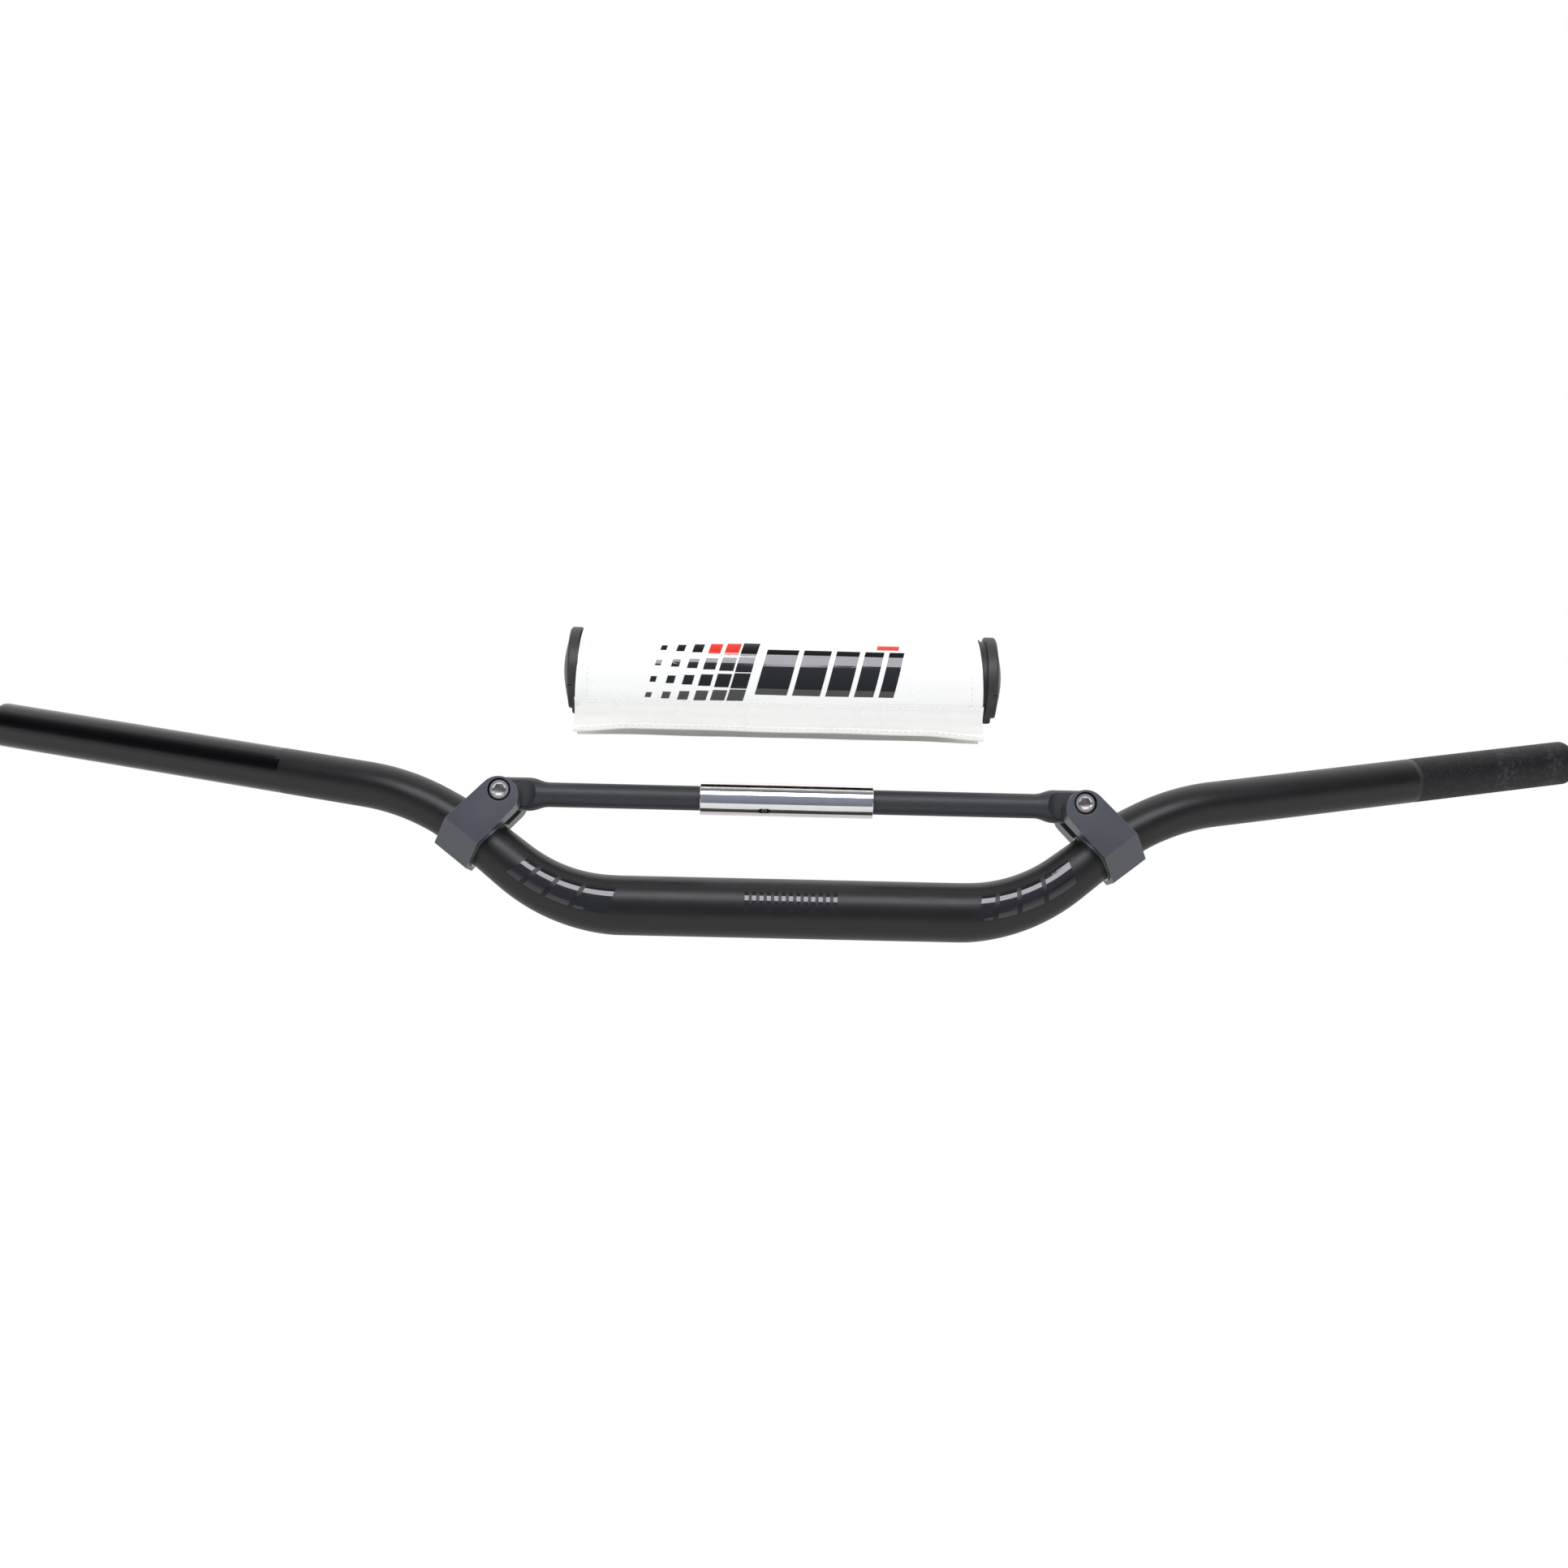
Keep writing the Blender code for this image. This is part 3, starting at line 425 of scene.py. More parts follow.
def add_piece(name, mesh, body, material=None, smooth=True, sharp=None, node_name=None):
    """Links a mesh as a piece that rides on a CAD body and takes the given material.

    Edges of more than sharp degrees stay crisp. The piece stands for the CAD node of that name.
    """
    if material is not None:
        mesh.materials.clear()
        mesh.materials.append(material)
    if smooth:
        mesh.shade_smooth()
    if sharp is not None:
        mesh.set_sharp_from_angle(angle=math.radians(sharp))
    obj = link(name, mesh)
    if body is not None:
        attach(obj, body)
    if node_name is not None:
        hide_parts(node_name)
    return obj


def mesh_from(name, points, faces):
    mesh = bpy.data.meshes.new(name)
    mesh.from_pydata([tuple(p) for p in points], [], [tuple(f) for f in faces])
    mesh.validate()
    return mesh


def grid_faces(rows, columns, close_rows=False, close_columns=False):
    """Quads of a grid whose points are numbered row by row."""
    faces = []
    for r in range(rows if close_rows else rows - 1):
        below = (r + 1) % rows
        for c in range(columns if close_columns else columns - 1):
            after = (c + 1) % columns
            faces.append((r * columns + c, r * columns + after,
                          below * columns + after, below * columns + c))
    return faces


def outward(mesh):
    """Turns every face of a closed mesh outward."""
    bm = bmesh.new()
    bm.from_mesh(mesh)
    bmesh.ops.recalc_face_normals(bm, faces=bm.faces)
    bm.to_mesh(mesh)
    bm.free()
    return mesh


def weighted(obj):
    """Keeps broad faces flat and lets narrow bevels look round."""
    modifier = obj.modifiers.new("weighted_normals", "WEIGHTED_NORMAL")
    modifier.keep_sharp = True
    return obj


def lathe(name, profile, place, segments, ring=False):
    """A mesh turned about z: profile holds (radius, height) points, and place puts it in the frame.

    A ring's profile is a closed loop. Any other profile starts and ends on the axis.
    """
    body = profile if ring else profile[1:-1]
    points = []
    for radius, height in body:
        for i in range(segments):
            angle = 2 * math.pi * i / segments
            points.append(Vector((radius * math.cos(angle), radius * math.sin(angle), height)))
    faces = grid_faces(len(body), segments, close_rows=ring, close_columns=True)
    if not ring:
        for row, end in ((0, profile[0]), (len(body) - 1, profile[-1])):
            points.append(Vector((0.0, 0.0, end[1])))
            tip = len(points) - 1
            first = row * segments
            faces += [(first + i, first + (i + 1) % segments, tip) for i in range(segments)]
    return outward(mesh_from(name, [place @ p for p in points], faces))


def prism(name, outline, half, place):
    """A mesh extruded both ways along z from a closed outline in x and y."""
    count = len(outline)
    points = [place @ Vector((x, y, z)) for z in (-half, half) for x, y in outline]
    faces = [tuple(range(count)), tuple(range(count, 2 * count))]
    faces += [(i, (i + 1) % count, count + (i + 1) % count, count + i) for i in range(count)]
    return outward(mesh_from(name, points, faces))


def cut(mesh, *cutters):
    """The mesh with each cutter taken away."""
    target = link("cut_target", mesh)
    tools = [link("cut_tool", cutter) for cutter in cutters]
    for tool in tools:
        modifier = target.modifiers.new("cut", "BOOLEAN")
        modifier.solver = "EXACT"
        modifier.object = tool
    graph = bpy.context.evaluated_depsgraph_get()
    result = bpy.data.meshes.new_from_object(target.evaluated_get(graph))
    for obj in [target] + tools:
        bpy.data.objects.remove(obj, do_unlink=True)
    return result


def round_edges(mesh, width, angle, segments=2):
    """Welds and flattens a mesh, then bevels every edge sharper than angle degrees."""
    bm = bmesh.new()
    bm.from_mesh(mesh)
    bmesh.ops.remove_doubles(bm, verts=bm.verts, dist=0.002 * MM)
    bmesh.ops.dissolve_limit(bm, angle_limit=math.radians(0.4), verts=bm.verts, edges=bm.edges)
    sharp = [e for e in bm.edges if len(e.link_faces) == 2 and e.calc_face_angle() > math.radians(angle)]
    bmesh.ops.bevel(bm, geom=sharp, offset=width, offset_type="OFFSET", segments=segments, profile=0.5,
                    affect="EDGES", clamp_overlap=True)
    bmesh.ops.recalc_face_normals(bm, faces=bm.faces)
    bm.to_mesh(mesh)
    bm.free()
    return mesh


def carried_over(node_name, name, width, material, angle=32.0):
    """A CAD node's own shape as a new piece, with its edges broken as real machining leaves them."""
    source = frame["nodes"][node_name]
    mesh = bpy.data.meshes.new(name)
    bm = bmesh.new()
    bm.from_mesh(source.data)
    bm.to_mesh(mesh)
    bm.free()
    if "custom_normal" in mesh.attributes:
        mesh.attributes.remove(mesh.attributes["custom_normal"])
    round_edges(mesh, width, angle)
    return weighted(add_piece(name, mesh, source["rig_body"], material,
                              node_name=node_name))


def frame_matrix(x_axis, y_axis, z_axis, origin):
    columns = Matrix((x_axis, y_axis, z_axis)).transposed()
    return Matrix.Translation(origin) @ columns.to_4x4()


def along_x(side, origin):
    return Matrix.Translation(origin) @ Matrix.Rotation(side * math.pi / 2, 4, "Y")


def along_y(origin):
    return Matrix.Translation(origin) @ Matrix.Rotation(-math.pi / 2, 4, "X")


def arc(centre, radius, start, end, steps):
    angles = [start + (end - start) * i / steps for i in range(steps + 1)]
    return [(centre[0] + radius * math.cos(a), centre[1] + radius * math.sin(a)) for a in angles]


def rolled(radius, height, size, degrees, rise=-1):
    """Profile points of a rim's rounded corner, at these angles round it."""
    turns = [math.radians(d) for d in degrees]
    return [(radius - size * (1 - math.cos(a)), height + rise * size * (1 - math.sin(a))) for a in turns]


def smoothstep(low, high, value):
    share = min(max((value - low) / (high - low), 0.0), 1.0)
    return share * share * (3 - 2 * share)


# ==== Bar tube ====
def fillet(before, corner, after, radius, step=math.radians(1.5)):
    into = (corner - before).normalized()
    out = (after - corner).normalized()
    turn = into.angle(out)
    inward = (out - into * into.dot(out)).normalized()
    start = corner - into * radius * math.tan(turn / 2)
    centre = start + inward * radius
    steps = math.ceil(turn / step)
    angles = [turn * i / steps for i in range(steps + 1)]
    return [centre - inward * radius * math.cos(a) + into * radius * math.sin(a) for a in angles]


def centreline():
    """Points of the tube's axis from the -X end to the +X end, and their distances from the middle."""
    lower = fillet(BAR_MIDDLE, LOWER_CORNER, UPPER_CORNER, LOWER_BEND_RADIUS)
    upper = fillet(LOWER_CORNER, UPPER_CORNER, BAR_END, UPPER_BEND_RADIUS)
    half = [BAR_MIDDLE] + lower + upper + [BAR_END]
    points = np.array([(-p.x, p.y, p.z) for p in reversed(half[1:])] + [tuple(p) for p in half])
    steps = np.linalg.norm(np.diff(points, axis=0), axis=1)
    distance = np.concatenate(([0.0], np.cumsum(steps)))
    return points, distance - distance[-1] / 2


LINE_POINTS, LINE_DISTANCE = centreline()
LINE_END = float(LINE_DISTANCE[-1])


def tube_radius(x):
    along = min(max((abs(x) - TAPER_START_X) / (TAPER_END_X - TAPER_START_X), 0.0), 1.0)
    return CENTRE_RADIUS + (GRIP_RADIUS - CENTRE_RADIUS) * along


def on_axis(distance):
    """(point, direction, front, up) of the tube's axis at a distance from the middle."""
    def at(d):
        return Vector([float(np.interp(d, LINE_DISTANCE, LINE_POINTS[:, k])) for k in range(3)])
    small = 0.5 * MM
    near = min(max(distance, -LINE_END + small), LINE_END - small)
    direction = (at(near + small) - at(near - small)).normalized()
    front = Vector((0.0, -1.0, 0.0))
    front = (front - direction * front.dot(direction)).normalized()
    return at(distance), direction, front, front.cross(direction)


def distance_at(x):
    """Distance from the middle, along the axis, of the place with this x."""
    return float(np.interp(x, LINE_POINTS[:, 0], LINE_DISTANCE))


def on_tube(distance, around, height):
    """A point on the tube: around is the angle up from the front, height is above the surface."""
    point, _, front, up = on_axis(distance)
    radius = tube_radius(point.x) + height
    return point + (front * math.cos(around) + up * math.sin(around)) * radius


def stations(start, end, step):
    count = max(int(round((end - start) / step)), 1)
    return [start + (end - start) * i / count for i in range(count + 1)]


def make_tube():
    """The whole tube, open at both ends, with broken edges. Its throttle end is smooth and glossy."""
    gloss = -distance_at(GLOSS_START_X)
    knurl = distance_at(KNURL_START_X)
    break_edge = 0.9 * MM
    inner_break = 0.4 * MM
    under_knurl = 0.25 * MM
    outer = stations(-LINE_END + break_edge, gloss, RING_STEP)
    outer += stations(gloss + 0.05 * MM, knurl, RING_STEP)
    outer += [knurl + 0.05 * MM] + stations(knurl + RING_STEP, LINE_END - break_edge, RING_STEP)
    edge = [(break_edge * (1 - math.sin(a)), break_edge * (1 - math.cos(a)))
            for a in (math.radians(80), math.radians(50), math.radians(25))]
    loops = [(-LINE_END + back, -drop) for back, drop in edge]
    loops += [(d, -under_knurl if d > knurl else 0.0) for d in outer]
    loops += [(LINE_END - back, -under_knurl - drop) for back, drop in reversed(edge)]
    loops += [(LINE_END, -WALL + inner_break), (LINE_END - inner_break, -WALL)]
    deep = LINE_END - 2 * RING_STEP
    loops += [(d, -WALL) for d in stations(deep, -deep, -4 * RING_STEP)]
    loops += [(-LINE_END + inner_break, -WALL), (-LINE_END, -WALL + inner_break)]
    points = []
    for d, height in loops:
        points += [on_tube(d, 2 * math.pi * i / TUBE_SEGMENTS, height) for i in range(TUBE_SEGMENTS)]
    mesh = mesh_from("bar_tube_body", points, grid_faces(len(loops), TUBE_SEGMENTS, True, True))
    outward(mesh)
    mesh.materials.append(SATIN)
    mesh.materials.append(GLOSS)
    for polygon in mesh.polygons:
        if polygon.center.x < -GLOSS_START_X:
            polygon.material_index = 1
    add_piece("bar_tube_body", mesh, "bar", node_name="bar_tube")


def make_knurl():
    """The knurled skin of the clutch end: two crossed sets of helical grooves, run out at both ends."""
    start = distance_at(KNURL_START_X)
    end = LINE_END - 0.6 * MM
    pitch = 2 * math.pi * GRIP_RADIUS / KNURL_TEETH
    columns = KNURL_TEETH * 5
    rows = stations(start, end, pitch / 4.5)
    points = []
    crests = []
    for d in rows:
        run_in = smoothstep(start, start + 1.5 * MM, d) * smoothstep(end, end - 2.0 * MM, d)
        for i in range(columns):
            around = 2 * math.pi * i / columns
            turn = KNURL_TEETH * around
            lead = 2 * math.pi * (d - start) / pitch
            one = 0.5 + 0.5 * math.cos(turn + lead)
            two = 0.5 + 0.5 * math.cos(turn - lead)
            crest = one * two
            height = -KNURL_SINK + (KNURL_SINK + KNURL_HEIGHT) * crest
            roll = 2.0 * MM * (1 - smoothstep(end, end - 1.2 * MM, d)) ** 3 * 0.35
            points.append(on_tube(d, around, height * run_in - roll))
            crests.append(crest * run_in)
    count = len(points)
    for d in (rows[-1], rows[0]):
        points += [on_tube(d, 2 * math.pi * i / columns, -0.9 * MM) for i in range(columns)]
    crests += [0.0] * (len(points) - count)
    mesh = mesh_from("bar_knurled_grip", points, grid_faces(len(rows) + 2, columns, True, True))
    outward(mesh)
    mesh.attributes.new("crest", "FLOAT", "POINT").data.foreach_set("value", crests)
    add_piece("bar_knurled_grip", mesh, "bar", KNURL)


# ==== Thin shapes laid on a curved surface ====
def slab(outlines, thickness, step_x, step_y):
    """Flat shapes as a thin solid, cut into strips so that it can follow a curved surface."""
    bm = bmesh.new()
    for outline in outlines:
        bm.faces.new([bm.verts.new((x, y, 0.0)) for x, y in outline])
    bounds = [(min(v.co[k] for v in bm.verts), max(v.co[k] for v in bm.verts)) for k in range(2)]
    for k, step in ((0, step_x), (1, step_y)):
        normal = (1.0, 0.0, 0.0) if k == 0 else (0.0, 1.0, 0.0)
        low, high = bounds[k]
        for i in range(1, int((high - low) / step) + 1):
            place = [0.0, 0.0, 0.0]
            place[k] = low + i * step
            bmesh.ops.bisect_plane(bm, geom=bm.verts[:] + bm.edges[:] + bm.faces[:], dist=1e-7,
                                   plane_co=place, plane_no=normal)
    made = bmesh.ops.extrude_face_region(bm, geom=bm.faces[:])
    for item in made["geom"]:
        if isinstance(item, bmesh.types.BMVert):
            item.co.z = thickness
    bmesh.ops.recalc_face_normals(bm, faces=bm.faces)
    return bm


def lay(name, outlines, surface, body, material, thickness=0.12 * MM):
    """Lays flat outlines on a surface: surface(x, y, height) gives a point in the frame."""
    sink = 0.05 * MM
    step = 1.2 * MM
    bm = slab(outlines, thickness + sink, 2.5 * step, step)
    for v in bm.verts:
        v.co = surface(v.co.x, v.co.y, v.co.z - sink)
    bmesh.ops.recalc_face_normals(bm, faces=bm.faces)
    mesh = bpy.data.meshes.new(name)
    bm.to_mesh(mesh)
    bm.free()
    add_piece(name, mesh, body, material, smooth=False)


def rounded_bar(left, right, low, high, radius):
    """Outline of a bar with round corners."""
    outline = []
    quarter = math.pi / 2
    corners = ((right - radius, low + radius, -quarter), (right - radius, high - radius, 0.0),
               (left + radius, high - radius, quarter), (left + radius, low + radius, 2 * quarter))
    for x, y, start in corners:
        outline += arc((x, y), radius, start, start + quarter, 3)
    return outline


def slanted(x, y, width, height, lean, pivot):
    """A parallelogram centred on (x, y) before it leans about the height of its pivot."""
    corners = ((-width, -height), (width, -height), (width, height), (-width, height))
    return [(x + dx / 2 + lean * (y + dy / 2 - pivot), y + dy / 2) for dx, dy in corners]


def make_decals():
    """Generic glossy marks on the tube: slanted blocks each side, and an alignment scale between."""
    def on_bar(x, y, height):
        return on_tube(x, y / CENTRE_RADIUS, height)
    for middle, word in ((-109 * MM, "left"), (115 * MM, "right")):
        blocks = []
        x = middle - 25 * MM
        for width in (7.0, 9.0, 11.0, 15.0):
            blocks.append(slanted(x + width * MM / 2, 1.7 * MM, width * MM, 13.4 * MM, 0.3, 1.7 * MM))
            x += (width + 2.4) * MM
        lay("bar_decal_" + word, blocks, on_bar, "bar", DECAL)
    ticks = []
    for i in range(-6, 7):
        x = i * 3.5 * MM
        low = (-3.0 if i % 3 == 0 else -0.5) * MM
        ticks.append(rounded_bar(x - 0.95 * MM, x + 0.95 * MM, low, 7.4 * MM, 0.4 * MM))
    lay("bar_decal_centre", ticks, on_bar, "bar", DECAL)


# ==== Clamps and pivots ====
def make_clamps():
    for word in ("left", "right"):
        carried_over("bar_clamp_" + word, "clamp_" + word, 0.35 * MM, CLAMP)
        carried_over("clamp_shim_" + word, "shim_" + word, 0.12 * MM, SHIM)
        carried_over("pivot_bushing_" + word, "bushing_" + word, 0.2 * MM, STEEL)


def make_bolt(side, word):
    """Socket head screw: rounded head with a key recess, over the CAD screw's own place."""
    low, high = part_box("pivot_bolt_" + word)
    face = low.y
    head = 5.0 * MM
    shank = 3.0 * MM
    rounding = 0.7 * MM
    seat = face + 6.0 * MM
    edge = rolled(head, face, rounding, (90, 72, 54, 36, 18, 0), 1)
    profile = [(0.0, face)] + edge + [(head, seat), (shank, seat), (shank, high.y - 0.4 * MM),
                                      (shank - 0.4 * MM, high.y), (0.0, high.y)]
    place = along_y((side * PIVOT_X, 0.0, CROSSBAR_Z))
    mesh = lathe("bolt_" + word, profile, place, 48)
    key = 2.89 * MM
    depth = face + 3.0 * MM
    recess = [(0.0, depth + 0.8 * MM), (key, depth), (key, face - 2 * MM), (0.0, face - 2 * MM)]
    lead_in = [(0.0, face + 0.55 * MM), (key - 0.3 * MM, face + 0.55 * MM)]
    lead_in += [(key + 0.5 * MM, face - 0.1 * MM), (0.0, face - 0.1 * MM)]
    mesh = cut(mesh, lathe("key_cutter", recess, place, 6), lathe("lead_in_cutter", lead_in, place, 32))
    round_edges(mesh, 0.08 * MM, 25.0)
    mesh.materials.clear()
    for material in (STEEL, BOLT_RIM_SHADE, RECESS_SHADE):
        mesh.materials.append(material)
    for polygon in mesh.polygons:
        x, y, z = polygon.center
        from_axis = math.hypot(x - side * PIVOT_X, z - CROSSBAR_Z)
        # painted shade: faces inside the key recess get the darker recess steel
        in_recess = from_axis < key and face + 0.6 * MM < y < depth + MM
        # painted shade: the head's rounded rim and sides, outside the bright face, take the dark rim
        # metal
        polygon.material_index = 1 if from_axis > BRIGHT_FACE_RADIUS else 2 if in_recess else 0
    weighted(add_piece("bolt_" + word, mesh, "bar", node_name="pivot_bolt_" + word))


# ==== Crossbar ====
def pin_frame(side):
    outward_axis = Vector((0.0, -math.cos(PIN_TILT), math.sin(PIN_TILT))) * -side
    along = Vector((1.0, 0.0, 0.0))
    return frame_matrix(along, outward_axis.cross(along), outward_axis, (side * PIN_X, 0.0, CROSSBAR_Z))


def make_sleeve():
    """Polished sleeve with rolled ends, a bush seat in each end and the two pin slots."""
    roll = 0.35 * MM
    step = SLEEVE_HALF - BUSH_SEAT_DEPTH
    profile = rolled(SLEEVE_RADIUS, SLEEVE_HALF, roll, (90, 60, 30, 0))
    profile += rolled(SLEEVE_RADIUS, -SLEEVE_HALF, roll, (0, 30, 60, 90), 1)
    profile += [(BUSH_SEAT, -SLEEVE_HALF), (BUSH_SEAT, -step), (SLEEVE_BORE, -step)]
    profile += [(SLEEVE_BORE, step), (BUSH_SEAT, step), (BUSH_SEAT, SLEEVE_HALF)]
    mesh = lathe("sleeve", profile, along_x(1, (SLEEVE_SHIFT, 0.0, CROSSBAR_Z)), 96, ring=True)
    reach = PIN_SLOT_HALF - PIN_SLOT_RADIUS
    outline = (arc((reach, 0.0), PIN_SLOT_RADIUS, -math.pi / 2, math.pi / 2, 10)
               + arc((-reach, 0.0), PIN_SLOT_RADIUS, math.pi / 2, 3 * math.pi / 2, 10))
    wall = Matrix.Translation((0.0, 0.0, SLEEVE_RADIUS))
    mesh = cut(mesh, *[prism("slot", outline, 5 * MM, pin_frame(side) @ wall) for side in (-1, 1)])
    add_piece("sleeve", mesh, "sleeve", POLISHED, sharp=35,
              node_name="crossbar_sleeve")


def make_crossbar():
    for side, word in SIDES:
        carried_over("crossbar_rod_" + word, "rod_" + word, 0.3 * MM, ROD, 40.0)
        carried_over("retaining_pin_" + word, "pin_" + word, 0.15 * MM, STEEL)
        carried_over("sleeve_bush_" + word, "bush_" + word, 0.12 * MM, BEARING)
        buffer = carried_over("rubber_buffer_" + word, "buffer_" + word, 0.3 * MM, BUFFER)
        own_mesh(buffer)
    carried_over("sleeve_spacer", "spacer", 0.2 * MM, POLISHED)
    make_sleeve()


# ==== Pad ====
def ripple(x, around):
    """Slow unevenness of stuffed cloth, in metres."""
    return 0.30 * MM * noise.noise(Vector((x * 28, math.cos(around) * 1.1, math.sin(around) * 1.1)))


def pucker(x, from_seam):
    """Small gathers that run out from a sewn seam and fade within a centimetre."""
    spacing = 0.0085
    fade = 0.0045
    gather = math.sin(x * 2 * math.pi / spacing + 2.2 * noise.noise(Vector((x * 60, 0.0, 3.0))))
    strength = 0.5 + noise.noise(Vector((x * 35, 7.0, 0.0)))
    return 0.16 * MM * gather * strength * math.exp(-abs(from_seam) / fade)


def cover_x(x, height_share):
    """Place of a cloth point along the pad. height_share is 1 at the pad's top and -1 at its bottom."""
    half = COVER_HALF - 0.5 * MM + COVER_SLANT * (1 - height_share) / 2
    return COVER_SHIFT + x * half / COVER_HALF


def on_pad(x, around, height):
    """A point on the cover: around is the angle up from its front, and height is above its face."""
    down = math.pi / 2 + around
    edge = COVER_HALF - abs(x)
    hem = 0.22 * MM * math.exp(-((edge - END_HEM) / (0.8 * MM)) ** 2)
    lip = 0.35 * MM * smoothstep(1.6 * MM, 0.0, edge)
    seam = (min(down, 2 * math.pi - down) - COVER_OPEN_ANGLE) * COVER_OUTER
    low = smoothstep(0.1, -0.6, math.sin(around))
    over_rim = 1.25 * MM * low * smoothstep(3.6 * MM, 0.6 * MM, COVER_HALF + x)
    radius = COVER_SURFACE + ripple(x, around) + pucker(x, seam) - hem - lip + over_rim + height
    return PAD_CENTRE + Vector((cover_x(x, math.sin(around)), -radius * math.cos(around),
                                radius * math.sin(around)))


def make_cover():
    """Vinyl cover: a curved sheet with hemmed ends, gathers along its lower seams and a soft body."""
    xs = [-COVER_HALF, -COVER_HALF + 0.4 * MM, -COVER_HALF + 0.9 * MM]
    xs += stations(-COVER_HALF + 1.5 * MM, COVER_HALF - 1.5 * MM, 1.0 * MM)
    xs += [COVER_HALF - 0.9 * MM, COVER_HALF - 0.4 * MM, COVER_HALF]
    columns = 150
    arounds = [COVER_START + (COVER_END - COVER_START) * i / columns for i in range(columns + 1)]
    rows = []
    for x in xs:
        rows.append([on_pad(x, a, 0.0) for a in arounds]
                    + [on_pad(x, a, -COVER_THICKNESS) for a in reversed(arounds)])
    mesh = cloth_mesh("pad_cover_cloth", rows)
    add_piece("pad_cover_cloth", mesh, "pad", VINYL, sharp=50, node_name="pad_cover")


def cloth_mesh(name, rows):
    """A closed sheet. Each row goes out along its upper face and back along its lower one."""
    length = len(rows[0])
    faces = grid_faces(len(rows), length, close_columns=True)
    for first in (0, (len(rows) - 1) * length):
        faces += [(first + i, first + i + 1, first + length - 2 - i, first + length - 1 - i)
                  for i in range(length // 2 - 1)]
    return outward(mesh_from(name, [p for row in rows for p in row], faces))


def capsules(name, path, radius, lift):
    """Stitches: a short rounded thread between each pair of (point, normal) places on a path."""
    rings = 5
    sides = 6
    points = []
    faces = []
    for (a, normal), (b, _) in zip(path[::2], path[1::2]):
        along = (b - a).normalized()
        across = normal.cross(along).normalized()
        middle = (a + b) / 2
        first = len(points)
        for i in range(rings):
            angle = math.pi * (i + 0.5) / rings
            reach = -math.cos(angle) * STITCH_LENGTH / 2
            girth = radius * math.sin(angle) ** 0.6
            dip = normal * (lift - radius * 0.9 * (abs(reach) * 2 / STITCH_LENGTH) ** 2)
            for k in range(sides):
                turn = 2 * math.pi * k / sides
                points.append(middle + along * reach + dip
                              + (across * math.cos(turn) + normal * math.sin(turn)) * girth)
        faces += [tuple(first + n for n in face) for face in grid_faces(rings, sides, close_columns=True)]
        faces.append(tuple(range(first, first + sides)))
        faces.append(tuple(range(first + (rings - 1) * sides, first + rings * sides)))
    return outward(mesh_from(name, points, faces))


def stitch_path(place, start, end):
    """Start and end places of stitches along a line: place(s) gives (point, normal)."""
    count = int((end - start) / STITCH_PITCH)
    spare = (end - start - count * STITCH_PITCH) / 2
    path = []
    for i in range(count):
        middle = start + spare + (i + 0.5) * STITCH_PITCH
        path += [place(middle - STITCH_LENGTH / 2), place(middle + STITCH_LENGTH / 2)]
    return path


def make_cover_stitching():
    """Seam threads: one row round each end's hem."""
    def pad_normal(around):
        return Vector((0.0, -math.cos(around), math.sin(around)))
    for side, word in SIDES:
        x = side * (COVER_HALF - END_HEM)
        path = stitch_path(lambda s: (on_pad(x, s / COVER_OUTER, 0.0), pad_normal(s / COVER_OUTER)),
                           COVER_START * COVER_OUTER, COVER_END * COVER_OUTER)
        mesh = capsules("stitches_hem_" + word, path, 0.20 * MM, 0.08 * MM)
        add_piece("stitches_hem_" + word, mesh, "pad", THREAD)


def make_prints():
    """Generic prints on the front of the cover: a chequered patch, slanted blocks and red marks."""
    def on_front(x, y, height):
        return on_pad(x, y / COVER_OUTER, height)
    black = []
    red = []
    columns = 6
    rows = 4
    low = -19.0 * MM
    tall = 32.0 * MM
    left = -68.5 * MM
    wide = 49.0 * MM
    lean = 0.25
    for i in range(columns):
        for j in range(rows):
            size = 0.34 + 0.60 * i / (columns - 1)
            x = left + wide * (i + 0.5) / columns - PAD_CENTRE.x
            y = low + tall * (j + 0.5) / rows
            cell = slanted(x, y, size * wide / columns, size * tall / rows, lean, low + tall / 2)
            (red if (i, j) in ((4, 3), (3, 3)) else black).append(cell)
    x = -15.0 * MM - PAD_CENTRE.x
    for width in (15.0, 13.0, 11.0, 9.0, 7.0):
        black.append(slanted(x + width * MM / 2, -2.2 * MM, width * MM, 22.8 * MM, lean, -2.2 * MM))
        x += (width + 2.5) * MM
    red.append(slanted(45.2 * MM - PAD_CENTRE.x, 11.9 * MM, 10.4 * MM, 2.6 * MM, lean, 11.9 * MM))
    lay("pad_print_shapes", black, on_front, "pad", INK, 0.10 * MM)
    lay("pad_print_accents", red, on_front, "pad", RED_INK, 0.10 * MM)


def make_foam():
    """Moulded foam core: a round bar with soft edges and the slot the crossbar goes into."""
    soft = 1.6 * MM
    rim = rolled(FOAM_RADIUS, FOAM_HALF, soft, (90, 60, 30, 0))
    lower = [(r, -h) for r, h in reversed(rim)]
    profile = [(0.0, FOAM_HALF)] + rim + lower + [(0.0, -FOAM_HALF)]
    mesh = cut(lathe("foam_core", profile, along_x(1, PAD_CENTRE), 96), slot_cutter())
    round_edges(mesh, 0.8 * MM, 40.0, 3)
    core = weighted(add_piece("foam_core", mesh, "pad", FOAM, node_name="pad_foam"))
    core.visible_glossy = False


def slot_cutter():
    deep = -0.03
    outline = arc((0.0, SLOT_RISE), SLOT_HALF, 0.0, math.pi, 24) + [(-SLOT_HALF, deep), (SLOT_HALF, deep)]
    return prism("slot_cutter", outline, 0.15, frame_matrix((0, 1, 0), (0, 0, 1), (1, 0, 0), PAD_CENTRE))


